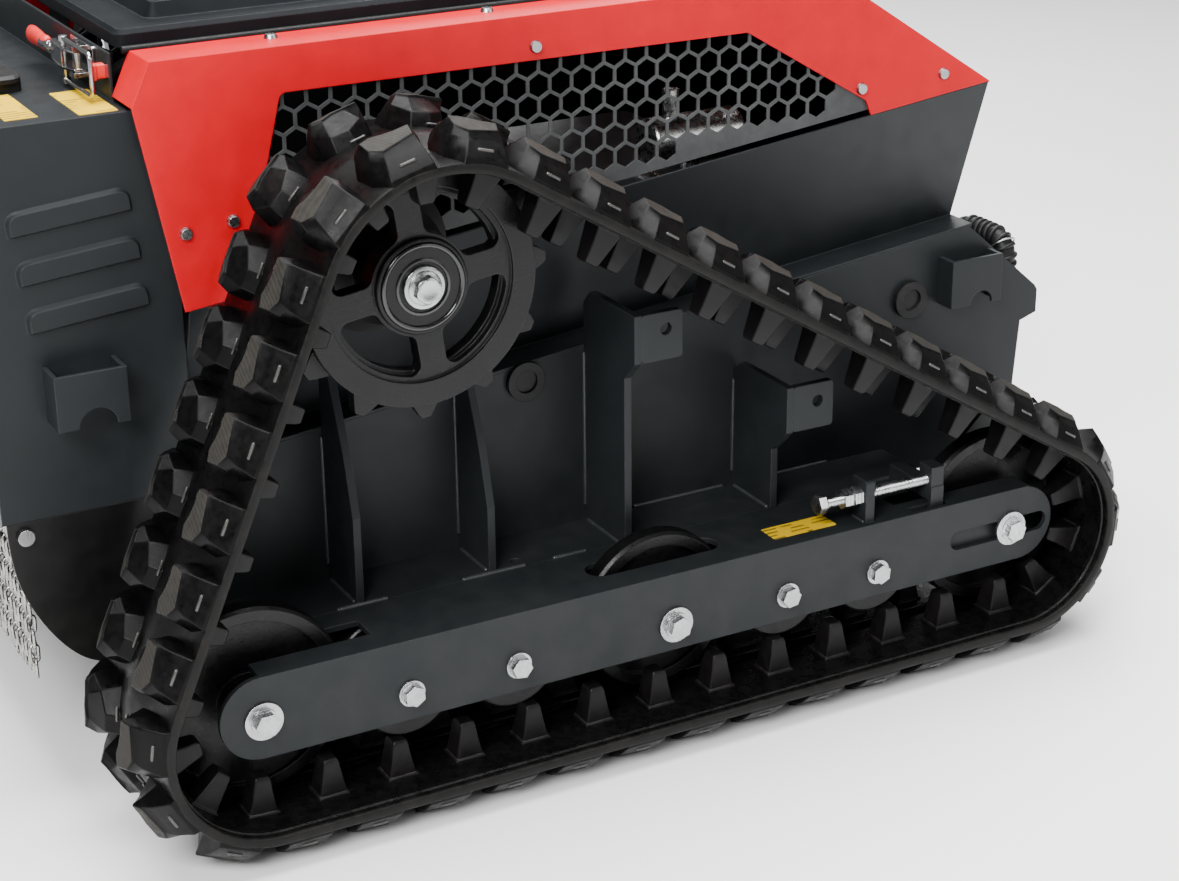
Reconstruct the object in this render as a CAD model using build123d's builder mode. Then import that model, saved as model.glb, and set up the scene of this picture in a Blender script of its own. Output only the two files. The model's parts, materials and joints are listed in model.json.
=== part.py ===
from build123d import *
import math
import os

# Tracked carrier chassis.  Row frame: +X forward, +Y to the machine's left,
# +Z up, origin on the ground under the middle of the machine.
# Each track unit is laid out in its own side frame:
#   d = distance behind the front idler axle
#   w = distance inboard of the track beam's outer face
#   h = height above the front idler axle

# ------------------------------------------------------------------ driving dimensions (mm)
AXLE_X = 419.0            # front idler axle ahead of the origin
BEAM_FACE_Y = 450.0       # outer face of a track beam from the centreline
AXLE_Z = 140.0            # idler axles above the ground

IDLER_SPACING = 864.0     # front idler axle to rear idler axle
IDLER_R = 98.0
MID_D, MID_R = 442.3, 85.0
ROLLER_D = (149.8, 264.4, 576.6, 689.5)
ROLLER_R = 49.2           # spool rollers, running on the tips of the guide lugs
ROAD_H = -11.1            # road wheel bolt line
SPROCKET_D, SPROCKET_H = 190.0, 382.0
SPROCKET_RING_R = 116.0
SPROCKET_TIP_R = 133.0
TEETH = 12
TOOTH_PHASE = 2.0

BELT_IN_R = 99.0          # belt inner surface about an idler
BELT_SPROCKET_R = 121.5   # belt inner surface about the sprocket
BELT_T = 20.0             # belt carcass
TREAD_H = 21.0
TREAD_BASE, TREAD_TOP = 43.0, 28.0
GUIDE_PHASE = -7.0
LINKS = 39
BELT_W0, BELT_W1 = -45.0, 135.0
LUG_ROWS = ((-2.0, 25.0), (69.0, 96.0))
LUG_H, LUG_BASE, LUG_TOP = 38.0, 29.0, 15.0
TOOTH_CHANNEL = (38.0, 56.0, 14.0)

BEAM_W = 92.0             # track beam: inverted channel
BEAM_T = 6.0
BEAM_TOP, BEAM_BOTTOM = 44.5, -39.9
BEAM_END_R = 42.2
BEAM_REAR = 878.0         # centre of the beam's rear end round

HULL_W = 165.0            # hull side wall, inboard of the beam face
COVER_W = 150.0           # red cover side face
LEDGE_W = 205.0
SHEET = 3.0
HULL_T = 4.0

PARTS = "parts"
os.makedirs(PARTS, exist_ok=True)


def side(w):
    """Plane at depth w: local x = d (rearward), local y = h (up), normal outboard."""
    return Plane(origin=(AXLE_X, BEAM_FACE_Y - w, AXLE_Z), x_dir=(-1, 0, 0), z_dir=(0, 1, 0))


def across(d):
    """Plane at distance d: local x = w, local y = h, normal rearward."""
    return Plane(origin=(AXLE_X - d, BEAM_FACE_Y, AXLE_Z), x_dir=(0, -1, 0), z_dir=(-1, 0, 0))


def above(h):
    """Horizontal plane at height h: local x = d, local y = w, normal up."""
    return Plane(origin=(AXLE_X, BEAM_FACE_Y, AXLE_Z + h), x_dir=(-1, 0, 0), z_dir=(0, 0, 1))


def save(part, name):
    part.label = name
    export_step(part, PARTS + "/" + name + ".step")


def hexagon(af, rotation=0):
    return RegularPolygon(radius=af / 2, side_count=6, major_radius=False, rotation=rotation)


# ------------------------------------------------------------------ track path
WHEELS = ((0.0, 0.0, BELT_IN_R), (IDLER_SPACING, 0.0, BELT_IN_R), (SPROCKET_D, SPROCKET_H, BELT_SPROCKET_R))
PITCH_OFF = 13.2          # cord line inside the carcass


def tangent_angle(a, b):
    dx, dy = b[0] - a[0], b[1] - a[1]
    return math.atan2(dy, dx) - math.acos((a[2] - b[2]) / math.hypot(dx, dy))


PATH = []                 # pieces of the loop: ("line", p0, p1, angle) or ("arc", wheel, a0, a1)
ANG = [tangent_angle(WHEELS[i], WHEELS[(i + 1) % 3]) for i in range(3)]
for i in range(3):
    j = (i + 1) % 3
    n = (math.cos(ANG[i]), math.sin(ANG[i]))
    p0 = (WHEELS[i][0] + WHEELS[i][2] * n[0], WHEELS[i][1] + WHEELS[i][2] * n[1])
    p1 = (WHEELS[j][0] + WHEELS[j][2] * n[0], WHEELS[j][1] + WHEELS[j][2] * n[1])
    PATH.append(("line", p0, p1, ANG[i], math.dist(p0, p1)))
    a0, a1 = ANG[i], ANG[j]
    while a1 < a0:
        a1 += 2 * math.pi
    PATH.append(("arc", WHEELS[j], a0, a1, (a1 - a0) * (WHEELS[j][2] + PITCH_OFF)))
PERIMETER = sum(p[4] for p in PATH)
PITCH = PERIMETER / LINKS


def on_path(s, off):
    """Point at pitch-line distance s, off = distance outside the belt's inner surface."""
    s = s % PERIMETER
    for p in PATH:
        if s <= p[4]:
            break
        s -= p[4]
    if p[0] == "line":
        t = s / p[4]
        return (p[1][0] + (p[2][0] - p[1][0]) * t + off * math.cos(p[3]),
                p[1][1] + (p[2][1] - p[1][1]) * t + off * math.sin(p[3]))
    a = p[2] + (p[3] - p[2]) * s / p[4]
    w = p[1]
    return (w[0] + (w[2] + off) * math.cos(a), w[1] + (w[2] + off) * math.sin(a))


def belt_outline(off, steps=5):
    n = LINKS * steps
    return [on_path(i * PERIMETER / n, off) for i in range(n)]


def lugged_outline(base, height, foot, top, phase, steps=3):
    pts = []
    for k in range(LINKS):
        s0 = phase + k * PITCH
        pts += [on_path(s0 - foot / 2, base), on_path(s0 - top / 2, base + height),
                on_path(s0 + top / 2, base + height), on_path(s0 + foot / 2, base)]
        gap = PITCH - foot
        for i in range(1, steps):
            pts.append(on_path(s0 + foot / 2 + gap * i / steps, base))
    return pts


LINK_START = 50.25         # joint between two moulded links, clear of tread and guide lugs
LINK_GAP = 0.2


def link_side(start, end, feet, base, height, foot, top, steps=4):
    """Points along one face of a link, with a trapezoid lug centred at feet."""
    marks = [(start + (end - start) * i / steps, base) for i in range(steps + 1)]
    marks = [m for m in marks if abs(m[0] - feet) > foot / 2 + 2.0]
    if height:
        marks += [(feet - foot / 2, base), (feet - top / 2, base + height),
                  (feet + top / 2, base + height), (feet + foot / 2, base)]
    return [on_path(d, off) for d, off in sorted(marks)]


def make_link(k):
    start = LINK_START + k * PITCH + LINK_GAP / 2
    end = LINK_START + (k + 1) * PITCH - LINK_GAP / 2
    tread = 28.0 + (k + 1) * PITCH
    guide = GUIDE_PHASE + (k + 1) * PITCH
    outer = link_side(start, end, tread, BELT_T, TREAD_H, TREAD_BASE, TREAD_TOP)
    plain = [on_path(start + (end - start) * i / 4, 0.0) for i in range(5)]
    with BuildPart() as link:
        for w0, w1, inner in ((BELT_W0, TOOTH_CHANNEL[0], 0.0),
                              (TOOTH_CHANNEL[0], TOOTH_CHANNEL[1], TOOTH_CHANNEL[2]),
                              (TOOTH_CHANNEL[1], BELT_W1, 0.0)):
            with BuildSketch(side(w1)):
                with BuildLine():
                    Polyline(*outer, *[on_path(start + (end - start) * i / 4, inner) for i in (4, 3, 2, 1, 0)],
                             close=True)
                make_face()
            extrude(amount=w1 - w0)
        for w0, w1 in LUG_ROWS:
            with BuildSketch(side(w1)):
                with BuildLine():
                    Polyline(on_path(guide - LUG_BASE / 2, 2.0), on_path(guide - LUG_BASE / 2, 0.0),
                             on_path(guide - LUG_TOP / 2, -LUG_H), on_path(guide + LUG_TOP / 2, -LUG_H),
                             on_path(guide + LUG_BASE / 2, 0.0), on_path(guide + LUG_BASE / 2, 2.0), close=True)
                make_face()
            extrude(amount=w1 - w0)
    return link.part


LINK_PARTS = [make_link(k) for k in range(LINKS)]
with BuildPart() as left_track_belt:
    for link_part in LINK_PARTS:
        add(link_part)
save(left_track_belt.part, "left_track_belt")
with BuildPart() as right_track_belt:
    mirror(left_track_belt.part, about=Plane.XZ)
save(right_track_belt.part, "right_track_belt")


# ------------------------------------------------------------------ track beam
with BuildPart() as left_track_beam:
    # outer and inner webs with round ends
    for w0 in (0.0, BEAM_W - BEAM_T):
        with BuildSketch(side(w0 + BEAM_T)):
            with Locations(((BEAM_REAR) / 2, (BEAM_TOP + BEAM_BOTTOM) / 2)):
                SlotCenterToCenter(BEAM_REAR, BEAM_TOP - BEAM_BOTTOM)
            with Locations((0, 0), (MID_D, ROAD_H), *[(d, ROAD_H) for d in ROLLER_D]):
                Circle(8.4, mode=Mode.SUBTRACT)
            with Locations((849.2, 0)):
                SlotOverall(128.5, 22.0, mode=Mode.SUBTRACT)
        extrude(amount=BEAM_T)
    # top flange
    with BuildSketch(above(BEAM_TOP - BEAM_T)):
        with Locations((444.0, BEAM_W / 2)):
            Rectangle(888.0, BEAM_W)
        with Locations((56.0, 47.0)):
            Rectangle(136.0, 32.0, mode=Mode.SUBTRACT)
        with Locations((MID_D, 47.0)):
            SlotOverall(152.0, 32.0, mode=Mode.SUBTRACT)
        with Locations((815.0, 47.0)):
            Rectangle(170.0, 32.0, mode=Mode.SUBTRACT)
        with Locations((761.0, 11.0), (761.0, 81.0)):
            Rectangle(46.0, 10.0, mode=Mode.SUBTRACT)
    extrude(amount=BEAM_T)
    # tension post standing on the flange
    with BuildSketch(across(677.0)):
        with Locations((20.0, 68.0)):
            Rectangle(26.0, 47.0)
        with Locations((20.0, 72.0)):
            Circle(6.8, mode=Mode.SUBTRACT)
    extrude(amount=11.0)
    fillet(left_track_beam.edges().filter_by(Axis.X).group_by(Axis.Z)[-1], 4.0)
save(left_track_beam.part, "left_track_beam")
with BuildPart() as right_track_beam:
    mirror(left_track_beam.part, about=Plane.XZ)
save(right_track_beam.part, "right_track_beam")


# ------------------------------------------------------------------ plates that carry the beams on the hull
with BuildPart() as beam_brackets:
    with BuildSketch(above(BEAM_TOP - BEAM_T)):
        with Locations((410.0, (BEAM_W + HULL_W) / 2)):
            Rectangle(800.0, HULL_W - BEAM_W)
        with Locations((317.0, 108.0)):
            Circle(5.5, mode=Mode.SUBTRACT)
    extrude(amount=BEAM_T)
    mirror(about=Plane.XZ)
save(beam_brackets.part, "beam_brackets")

LUG_W = 60.0              # outer face of the lug plates
# plane of the gusset, outline in (w, h); the two rear ones reach outboard to carry a lug plate
GUSSETS = [(142.0, ((96.0, BEAM_TOP), (HULL_W, BEAM_TOP), (HULL_W, 285.0), (148.0, 285.0), (112.0, 195.0),
                    (96.0, 135.0))),
           (286.0, ((96.0, BEAM_TOP), (HULL_W, BEAM_TOP), (HULL_W, 265.0), (148.0, 265.0), (112.0, 175.0),
                    (96.0, 115.0))),
           (434.0, ((81.0, BEAM_TOP), (HULL_W, BEAM_TOP), (HULL_W, 286.0), (151.0, 300.0), (LUG_W, 300.0),
                    (LUG_W, 250.0), (81.0, 229.0))),
           (615.0, ((88.0, BEAM_TOP), (HULL_W, BEAM_TOP), (HULL_W, 176.0), (151.0, 190.0), (LUG_W, 190.0),
                    (LUG_W, 140.0), (88.0, 113.0)))]
with BuildPart() as bracket_gussets:
    for d, outline in GUSSETS:
        with BuildSketch(across(d - 4.0)):
            with BuildLine():
                Polyline(*outline, close=True)
            make_face()
        extrude(amount=8.0)
    mirror(about=Plane.XZ)
save(bracket_gussets.part, "bracket_gussets")

LUG_T = 8.0
LUG_PLATES = [((438.0, 485.0), (250.0, 300.0), (466.0, 282.0)), ((619.0, 668.0), (140.0, 190.0), (649.0, 170.0))]
with BuildPart() as lug_plates:
    for (d0, d1), (h0, h1), hole in LUG_PLATES:
        with BuildSketch(side(LUG_W + LUG_T)):
            with Locations(((d0 + d1) / 2, (h0 + h1) / 2)):
                RectangleRounded(d1 - d0, h1 - h0, 4.0)
            with Locations(hole):
                Circle(6.5, mode=Mode.SUBTRACT)
        extrude(amount=LUG_T)
    mirror(about=Plane.XZ)
save(lug_plates.part, "lug_plates")


# ------------------------------------------------------------------ wheels
def disc_wheel(d, h, rim_r, rim, web, hub_r, hub, bore_r, holes=0):
    """A wheel turned about its axle: rim, web and hub given as depth ranges."""
    with BuildPart() as wheel:
        with BuildSketch(side(rim[1])):
            with Locations((d, h)):
                Circle(rim_r)
                Circle(rim_r - 14.0, mode=Mode.SUBTRACT)
        extrude(amount=rim[1] - rim[0])
        chamfer(wheel.edges().filter_by(GeomType.CIRCLE).sort_by(SortBy.RADIUS)[-2:], 3.0)
        with BuildSketch(side(web[1])):
            with Locations((d, h)):
                Circle(rim_r - 12.0)
                if holes:
                    with PolarLocations((rim_r + hub_r) / 2 - 5.0, holes):
                        Circle(9.0, mode=Mode.SUBTRACT)
        extrude(amount=web[1] - web[0])
        with BuildSketch(side(hub[1])):
            with Locations((d, h)):
                Circle(hub_r)
        extrude(amount=hub[1] - hub[0])
        with BuildSketch(side(hub[1])):
            with Locations((d, h)):
                Circle(bore_r)
        extrude(amount=hub[1] - hub[0], mode=Mode.SUBTRACT)
    return wheel


def spool_roller(d, h, r, bore_r):
    """A double roller: two rims on one tube, one rim over each row of guide lugs."""
    with BuildPart() as roller:
        for w0, w1 in ((8.5, 26.0), (66.0, 83.5)):
            with BuildSketch(side(w1)):
                with Locations((d, h)):
                    Circle(r)
            extrude(amount=w1 - w0)
        chamfer(roller.edges().filter_by(GeomType.CIRCLE), 2.0)
        with BuildSketch(side(66.0)):
            with Locations((d, h)):
                Circle(22.0)
        extrude(amount=40.0)
        with BuildSketch(side(83.5)):
            with Locations((d, h)):
                Circle(bore_r)
        extrude(amount=75.0, mode=Mode.SUBTRACT)
    return roller


SLEEVE_R = 12.0
BORE_R = SLEEVE_R + 0.08
WHEEL_LIST = [("front_idler", 0.0, 0.0, IDLER_R, 30.0), ("mid_wheel", MID_D, ROAD_H, MID_R, 26.0),
              ("rear_idler", IDLER_SPACING, 0.0, IDLER_R, 30.0)]
WHEEL_LIST += [("roller_%d" % (i + 1), d, ROAD_H, ROLLER_R, 20.0) for i, d in enumerate(ROLLER_D)]
for name, d, h, r, hub_r in WHEEL_LIST:
    if r < 60:
        left = spool_roller(d, h, r, BORE_R)
    else:
        hub = (16.0, 76.0) if name == "rear_idler" else (8.0, 84.0)
        left = disc_wheel(d, h, r, (36.0, 58.0), (42.0, 52.0), hub_r, hub, BORE_R)
    save(left.part, "left_" + name)
    with BuildPart() as right:
        mirror(left.part, about=Plane.XZ)
    save(right.part, "right_" + name)


# ------------------------------------------------------------------ drive sprocket and its shaft
with BuildSketch() as sprocket_windows:
    Circle(88.0)
    Circle(49.0, mode=Mode.SUBTRACT)
    with PolarLocations(0, 4, start_angle=8.0):
        with Locations((70.0, 0)):
            Rectangle(60.0, 26.0, mode=Mode.SUBTRACT)
    fillet(sprocket_windows.vertices(), 10.0)

with BuildPart() as left_drive_sprocket:
    centre = (SPROCKET_D, SPROCKET_H)
    with BuildSketch(side(54.0)):                       # toothed disc
        with Locations(centre):
            Circle(SPROCKET_RING_R - 4.0)
            Circle(84.0, mode=Mode.SUBTRACT)
        for k in range(TEETH):
            a = math.radians(TOOTH_PHASE + 360.0 / TEETH * k)
            pts = []
            for r, half in ((106.0, 18.0), (116.0, 14.5), (127.0, 8.5), (SPROCKET_TIP_R, 4.5)):
                pts.append((r, half))
            pts += [(r, -q) for r, q in reversed(pts)]
            with BuildLine():
                Polyline(*[(centre[0] + r * math.cos(a) - q * math.sin(a),
                            centre[1] + r * math.sin(a) + q * math.cos(a)) for r, q in pts], close=True)
            make_face()
    extrude(amount=14.0)
    with BuildSketch(side(42.0)):                       # front rim ring
        with Locations(centre):
            Circle(SPROCKET_RING_R)
            Circle(93.0, mode=Mode.SUBTRACT)
    extrude(amount=14.0)
    with BuildSketch(side(50.0)):                       # web cast with four windows, leaving four spokes
        with Locations(centre):
            Circle(94.0)
            add(sprocket_windows.sketch, mode=Mode.SUBTRACT)
    extrude(amount=18.0)
    with BuildSketch(side(62.0)):                       # hub
        with Locations(centre):
            Circle(46.0)
    extrude(amount=36.0)
    with BuildSketch(side(62.0)):
        with Locations(centre):
            Circle(17.5)
    extrude(amount=36.0, mode=Mode.SUBTRACT)
    fillet(left_drive_sprocket.edges().filter_by(GeomType.CIRCLE).group_by(Axis.Y)[-1].sort_by(SortBy.RADIUS)[-1], 3.0)
save(left_drive_sprocket.part, "left_drive_sprocket")

with BuildPart() as left_drive_shaft:
    with BuildSketch(side(118.0)):
        with Locations(centre):
            Circle(17.5)
    extrude(amount=88.0)
    with BuildSketch(side(70.0)):                       # shoulder behind the sprocket hub
        with Locations(centre):
            Circle(26.0)
    extrude(amount=8.0)
save(left_drive_shaft.part, "left_drive_shaft")

with BuildPart() as left_hub_bolt:                      # washer and bolt head on the shaft end
    with BuildSketch(side(26.0)):
        with Locations(centre):
            Circle(24.0)
    extrude(amount=4.0)
    with BuildSketch(side(22.0)):
        with Locations(centre):
            Circle(17.0)
    extrude(amount=2.0)
    with BuildSketch(side(20.0)):
        with Locations(centre):
            hexagon(24.0, 20.0)
    extrude(amount=9.0)
save(left_hub_bolt.part, "left_hub_bolt")

with BuildPart() as left_drive_motor:                   # geared wheel motor through the hull side
    with BuildSketch(side(HULL_W)):
        with Locations(centre):
            Circle(76.0)
    extrude(amount=30.0)
    with BuildSketch(side(HULL_W - 30.0)):
        with Locations(centre):
            Circle(58.0)
    extrude(amount=35.0)
    with BuildSketch(side(HULL_W - 30.0 - 35.0)):
        with Locations(centre):
            Circle(38.0)
    extrude(amount=22.0)
    with BuildSketch(side(HULL_W + 130.0)):
        with Locations(centre):
            Circle(52.0)
    extrude(amount=130.0)
    with BuildSketch(side(118.05)):                     # shaft bore
        with Locations(centre):
            Circle(17.58)
    extrude(amount=60.0, mode=Mode.SUBTRACT)
    chamfer(left_drive_motor.edges().filter_by(GeomType.CIRCLE).group_by(Axis.Y)[0], 6.0)
save(left_drive_motor.part, "left_drive_motor")
for piece, name in ((left_drive_sprocket, "right_drive_sprocket"), (left_drive_shaft, "right_drive_shaft"),
                    (left_hub_bolt, "right_hub_bolt"), (left_drive_motor, "right_drive_motor")):
    with BuildPart() as right:
        mirror(piece.part, about=Plane.XZ)
    save(right.part, name)


# ------------------------------------------------------------------ axle sleeves and bolts
FIXED_AXLES = [(0.0, 0.0, True), (MID_D, ROAD_H, True)] + [(d, ROAD_H, False) for d in ROLLER_D]

with BuildPart() as axle_sleeves:
    with BuildSketch(side(BEAM_W - BEAM_T)):
        with Locations(*[(d, h) for d, h, _ in FIXED_AXLES]):
            Circle(SLEEVE_R)
            Circle(8.2, mode=Mode.SUBTRACT)
    extrude(amount=BEAM_W - 2 * BEAM_T)
    mirror(about=Plane.XZ)
save(axle_sleeves.part, "axle_sleeves")


# flanged hex bolts through both webs with their nuts; the large ones also carry a fender washer
with BuildPart() as axle_bolts:
    for i, (d, h, large) in enumerate(FIXED_AXLES):
        t = 3.0 if large else 0.0
        if large:
            with BuildSketch(side(0.0)):
                with Locations((d, h)):
                    Circle(19.0)
            extrude(amount=t)
        with BuildSketch(side(BEAM_W + 13.0)):
            with Locations((d, h)):
                Circle(8.0)
        extrude(amount=BEAM_W + 13.0 + t)
        with BuildSketch(side(-t)):
            with Locations((d, h)):
                Circle(13.5)
        extrude(amount=2.5)
        with BuildSketch(side(-t - 2.5)):
            with Locations((d, h)):
                hexagon(21.0 if large else 19.0, 17.0 * i)
        extrude(amount=8.0)
        with BuildSketch(side(BEAM_W + 13.0)):
            with Locations((d, h)):
                hexagon(24.0, 17.0 * i)
        extrude(amount=13.0)
    mirror(about=Plane.XZ)
save(axle_bolts.part, "axle_bolts")


# ------------------------------------------------------------------ rear idler tensioner
with BuildPart() as left_tension_yoke:
    for w0 in (8.0, 78.0):
        with BuildSketch(side(w0 + 6.0)):
            with BuildLine():
                Polyline((762.0, -14.0), (876.0, -14.0), (882.0, -8.0), (882.0, 8.0), (876.0, 14.0),
                         (778.0, 14.0), (778.0, 66.0), (762.0, 66.0), close=True)
            make_face()
            with Locations((IDLER_SPACING, 0)):
                Circle(8.0, mode=Mode.SUBTRACT)
        extrude(amount=6.0)
    with BuildSketch(side(84.0)):                       # cross bar over the flange
        with Locations((770.0, 58.0)):
            Rectangle(16.0, 16.0)
    extrude(amount=76.0)
    with BuildSketch(side(31.0)):                       # pressure block for the tension bolt
        with Locations((770.0, 70.0)):
            Rectangle(16.0, 36.0)
    extrude(amount=22.0)
    with BuildSketch(side(78.0)):                       # sleeve between the yoke cheeks
        with Locations((IDLER_SPACING, 0)):
            Circle(SLEEVE_R)
            Circle(8.0, mode=Mode.SUBTRACT)
    extrude(amount=64.0)
save(left_tension_yoke.part, "left_tension_yoke")

with BuildPart() as left_tensioner_bolts:
    # idler axle bolt, riding in the slots
    with BuildSketch(side(0.0)):
        with Locations((IDLER_SPACING, 0)):
            Circle(19.0)
            Circle(8.0, mode=Mode.SUBTRACT)
    extrude(amount=3.0)
    with BuildSketch(side(BEAM_W + 13.0)):
        with Locations((IDLER_SPACING, 0)):
            Circle(8.0)
    extrude(amount=BEAM_W + 16.0)
    with BuildSketch(side(-3.0)):
        with Locations((IDLER_SPACING, 0)):
            Circle(13.5)
    extrude(amount=2.5)
    with BuildSketch(side(-5.5)):
        with Locations((IDLER_SPACING, 0)):
            hexagon(21.0, 12.0)
    extrude(amount=8.0)
    with BuildSketch(side(BEAM_W + 13.0)):
        with Locations((IDLER_SPACING, 0)):
            hexagon(24.0, 12.0)
    extrude(amount=13.0)
    # tension bolt through the post, with its lock nuts
    with BuildSketch(across(632.0)):
        with Locations((20.0, 72.0)):
            Circle(6.0)
    extrude(amount=130.0)
    with BuildSketch(across(623.0)):
        with Locations((20.0, 72.0)):
            hexagon(19.0, 0.0)
    extrude(amount=9.0)
    for d in (654.0, 666.5):
        with BuildSketch(across(d)):
            with Locations((20.0, 72.0)):
                hexagon(19.0, 25.0)
        extrude(amount=10.0)
save(left_tensioner_bolts.part, "left_tensioner_bolts")
for piece, name in ((left_tension_yoke, "right_tension_yoke"),
                    (left_tensioner_bolts, "right_tensioner_bolts")):
    with BuildPart() as right:
        mirror(piece.part, about=Plane.XZ)
    save(right.part, name)


# ------------------------------------------------------------------ hull
HULL_FRONT, HULL_REAR, HULL_BOTTOM = -20.0, 1018.0, 10.0


def ledge_h(d):
    return 191.0 + (d - 10.0) * 98.0 / 907.0


def seam_h(d):
    return 352.0 + (d - 6.0) * 103.0 / 916.0


HULL_Y = BEAM_FACE_Y - HULL_W
with BuildPart() as hull_tub:
    with BuildSketch(side(2 * BEAM_FACE_Y - HULL_W)):
        with BuildLine():
            Polyline((HULL_FRONT, HULL_BOTTOM), (HULL_FRONT, ledge_h(HULL_FRONT)), (917.0, ledge_h(917.0)),
                     (HULL_REAR - 4.0, 205.0), (HULL_REAR, 199.0), (HULL_REAR, 172.0), (996.0, 165.0),
                     (989.0, 70.0), (940.0, HULL_BOTTOM), close=True)
        make_face()
    extrude(amount=2 * HULL_Y)
    with BuildSketch(side(2 * BEAM_FACE_Y - HULL_W - HULL_T)):
        with BuildLine():
            Polyline((HULL_FRONT + 4, HULL_BOTTOM + 4), (HULL_FRONT + 4, 420.0), (913.0, 420.0),
                     (913.0, ledge_h(913.0) - 3.0), (HULL_REAR - 9.0, 203.0), (HULL_REAR - 5.0, 176.0),
                     (992.0, 168.0), (985.0, 72.0), (938.0, HULL_BOTTOM + 4), close=True)
        make_face()
    extrude(amount=2 * HULL_Y - 2 * HULL_T, mode=Mode.SUBTRACT)
    with BuildSketch(across(913.0)):                    # rear wall above the ledge
        with BuildLine():
            Polyline((LEDGE_W + 6, 286.0), (COVER_W + 8, 450.0), (2 * BEAM_FACE_Y - COVER_W - 8, 450.0),
                     (2 * BEAM_FACE_Y - LEDGE_W - 6, 286.0), close=True)
        make_face()
    extrude(amount=4.0)
save(hull_tub.part, "hull_tub")

with BuildPart() as left_side_flare:
    for d in (10.0, 920.0):
        hl, hs = ledge_h(d), seam_h(d)
        with BuildSketch(across(d)):
            with BuildLine():
                Polyline((HULL_W, hl), (HULL_W, hl + SHEET), (LEDGE_W, hl + SHEET), (COVER_W, hs),
                         (COVER_W + 3.2, hs), (LEDGE_W + 4.0, hl), close=True)
            make_face()
    loft()
    # clearance for the wheel motor
    with BuildSketch(side(LEDGE_W + 20.0)):
        with Locations(centre):
            Circle(78.0)
    extrude(amount=100.0, mode=Mode.SUBTRACT)
save(left_side_flare.part, "left_side_flare")
with BuildPart() as right_side_flare:
    mirror(left_side_flare.part, about=Plane.XZ)
save(right_side_flare.part, "right_side_flare")


# ------------------------------------------------------------------ red side covers
TOP_H = 588.0
COVER = [(6.0, seam_h(6.0) + 0.4), (922.0, seam_h(922.0) + 0.4), (718.0, TOP_H), (-10.0, TOP_H), (-29.0, 548.0)]
T = 2.5
with BuildPart() as left_side_cover:
    with BuildSketch(side(COVER_W + T)):
        with BuildLine():
            Polyline(*COVER, close=True)
        make_face()
        with BuildLine():
            opening = FilletPolyline((60.0, 300.0), (61.0, 350.0), (89.0, 459.0), (111.0, 545.0), (613.0, 543.0),
                                     (761.0, 454.0), (769.0, 434.0), (769.0, 300.0), close=True, radius=8.0)
        make_face(mode=Mode.SUBTRACT)
    extrude(amount=T)
    with BuildSketch(side(LEDGE_W)):                    # folded front edge and top edge
        with BuildLine():
            Polyline((718.0, TOP_H), (-10.0, TOP_H), (-29.0, 548.0), (-26.6, 547.0), (-8.4, TOP_H - T),
                     (718.0, TOP_H - T), close=True)
        make_face()
    extrude(amount=LEDGE_W - COVER_W)
    with BuildSketch(side(BEAM_FACE_Y - 0.2)):          # rear slope, up to the centre seam
        with BuildLine():
            Polyline((703.0, TOP_H), (703.0, TOP_H - T), (717.2, TOP_H - T), (919.5, 454.0), (922.0, seam_h(922.0)),
                     (718.0, TOP_H), close=True)
        make_face()
    extrude(amount=BEAM_FACE_Y - 0.2 - COVER_W)
save(left_side_cover.part, "left_side_cover")
with BuildPart() as right_side_cover:
    mirror(left_side_cover.part, about=Plane.XZ)
save(right_side_cover.part, "right_side_cover")

HEX_PITCH, HEX_AF = 24.0, 20.5
GRILLE = [(46.0, seam_h(46.0) + 6), (80.0, 562.0), (628.0, 562.0), (786.0, 468.0), (794.0, seam_h(794.0) + 6)]
GRILLE_RIM = 6.0


def inside(p, poly, margin):
    """True where p lies inside the convex polygon by at least the margin."""
    area = sum(poly[i][0] * poly[(i + 1) % len(poly)][1] - poly[(i + 1) % len(poly)][0] * poly[i][1]
               for i in range(len(poly)))
    for i in range(len(poly)):
        a, b = poly[i], poly[(i + 1) % len(poly)]
        cross = (b[0] - a[0]) * (p[1] - a[1]) - (b[1] - a[1]) * (p[0] - a[0])
        if cross / math.dist(a, b) * (1 if area > 0 else -1) < margin:
            return False
    return True


cells = []
for j in range(0, 12):
    for i in range(0, 34):
        p = (54.0 + i * HEX_PITCH + (HEX_PITCH / 2 if j % 2 else 0.0), 372.0 + j * HEX_PITCH * math.sqrt(3) / 2)
        if inside(p, GRILLE, HEX_AF / math.sqrt(3) + GRILLE_RIM):
            cells.append(p)
with BuildPart() as left_grille:
    with BuildSketch(side(COVER_W + 6.0)):
        with BuildLine():
            Polyline(*GRILLE, close=True)
        make_face()
        with Locations(centre):                         # clear of the wheel motor
            Circle(80.0, mode=Mode.SUBTRACT)
        with Locations(*cells):
            RegularPolygon(radius=HEX_AF / 2, side_count=6, major_radius=False, rotation=30.0, mode=Mode.SUBTRACT)
    extrude(amount=2.0)
save(left_grille.part, "left_grille")
with BuildPart() as right_grille:
    mirror(left_grille.part, about=Plane.XZ)
save(right_grille.part, "right_grille")

with BuildPart() as cover_screws:
    for d, h in ((12.0, 427.0), (58.0, 432.0), (373.0, 557.0), (754.0, 468.0), (859.0, 471.0)):
        with BuildSketch(side(COVER_W)):
            with Locations((d, h)):
                Circle(6.5)
        extrude(amount=3.5, taper=20)
    for d in (119.0, 340.0, 560.0):
        with BuildSketch(above(TOP_H)):
            with Locations((d, 186.0)):
                Circle(6.5)
        extrude(amount=3.5, taper=20)
    mirror(about=Plane.XZ)
save(cover_screws.part, "cover_screws")


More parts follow.
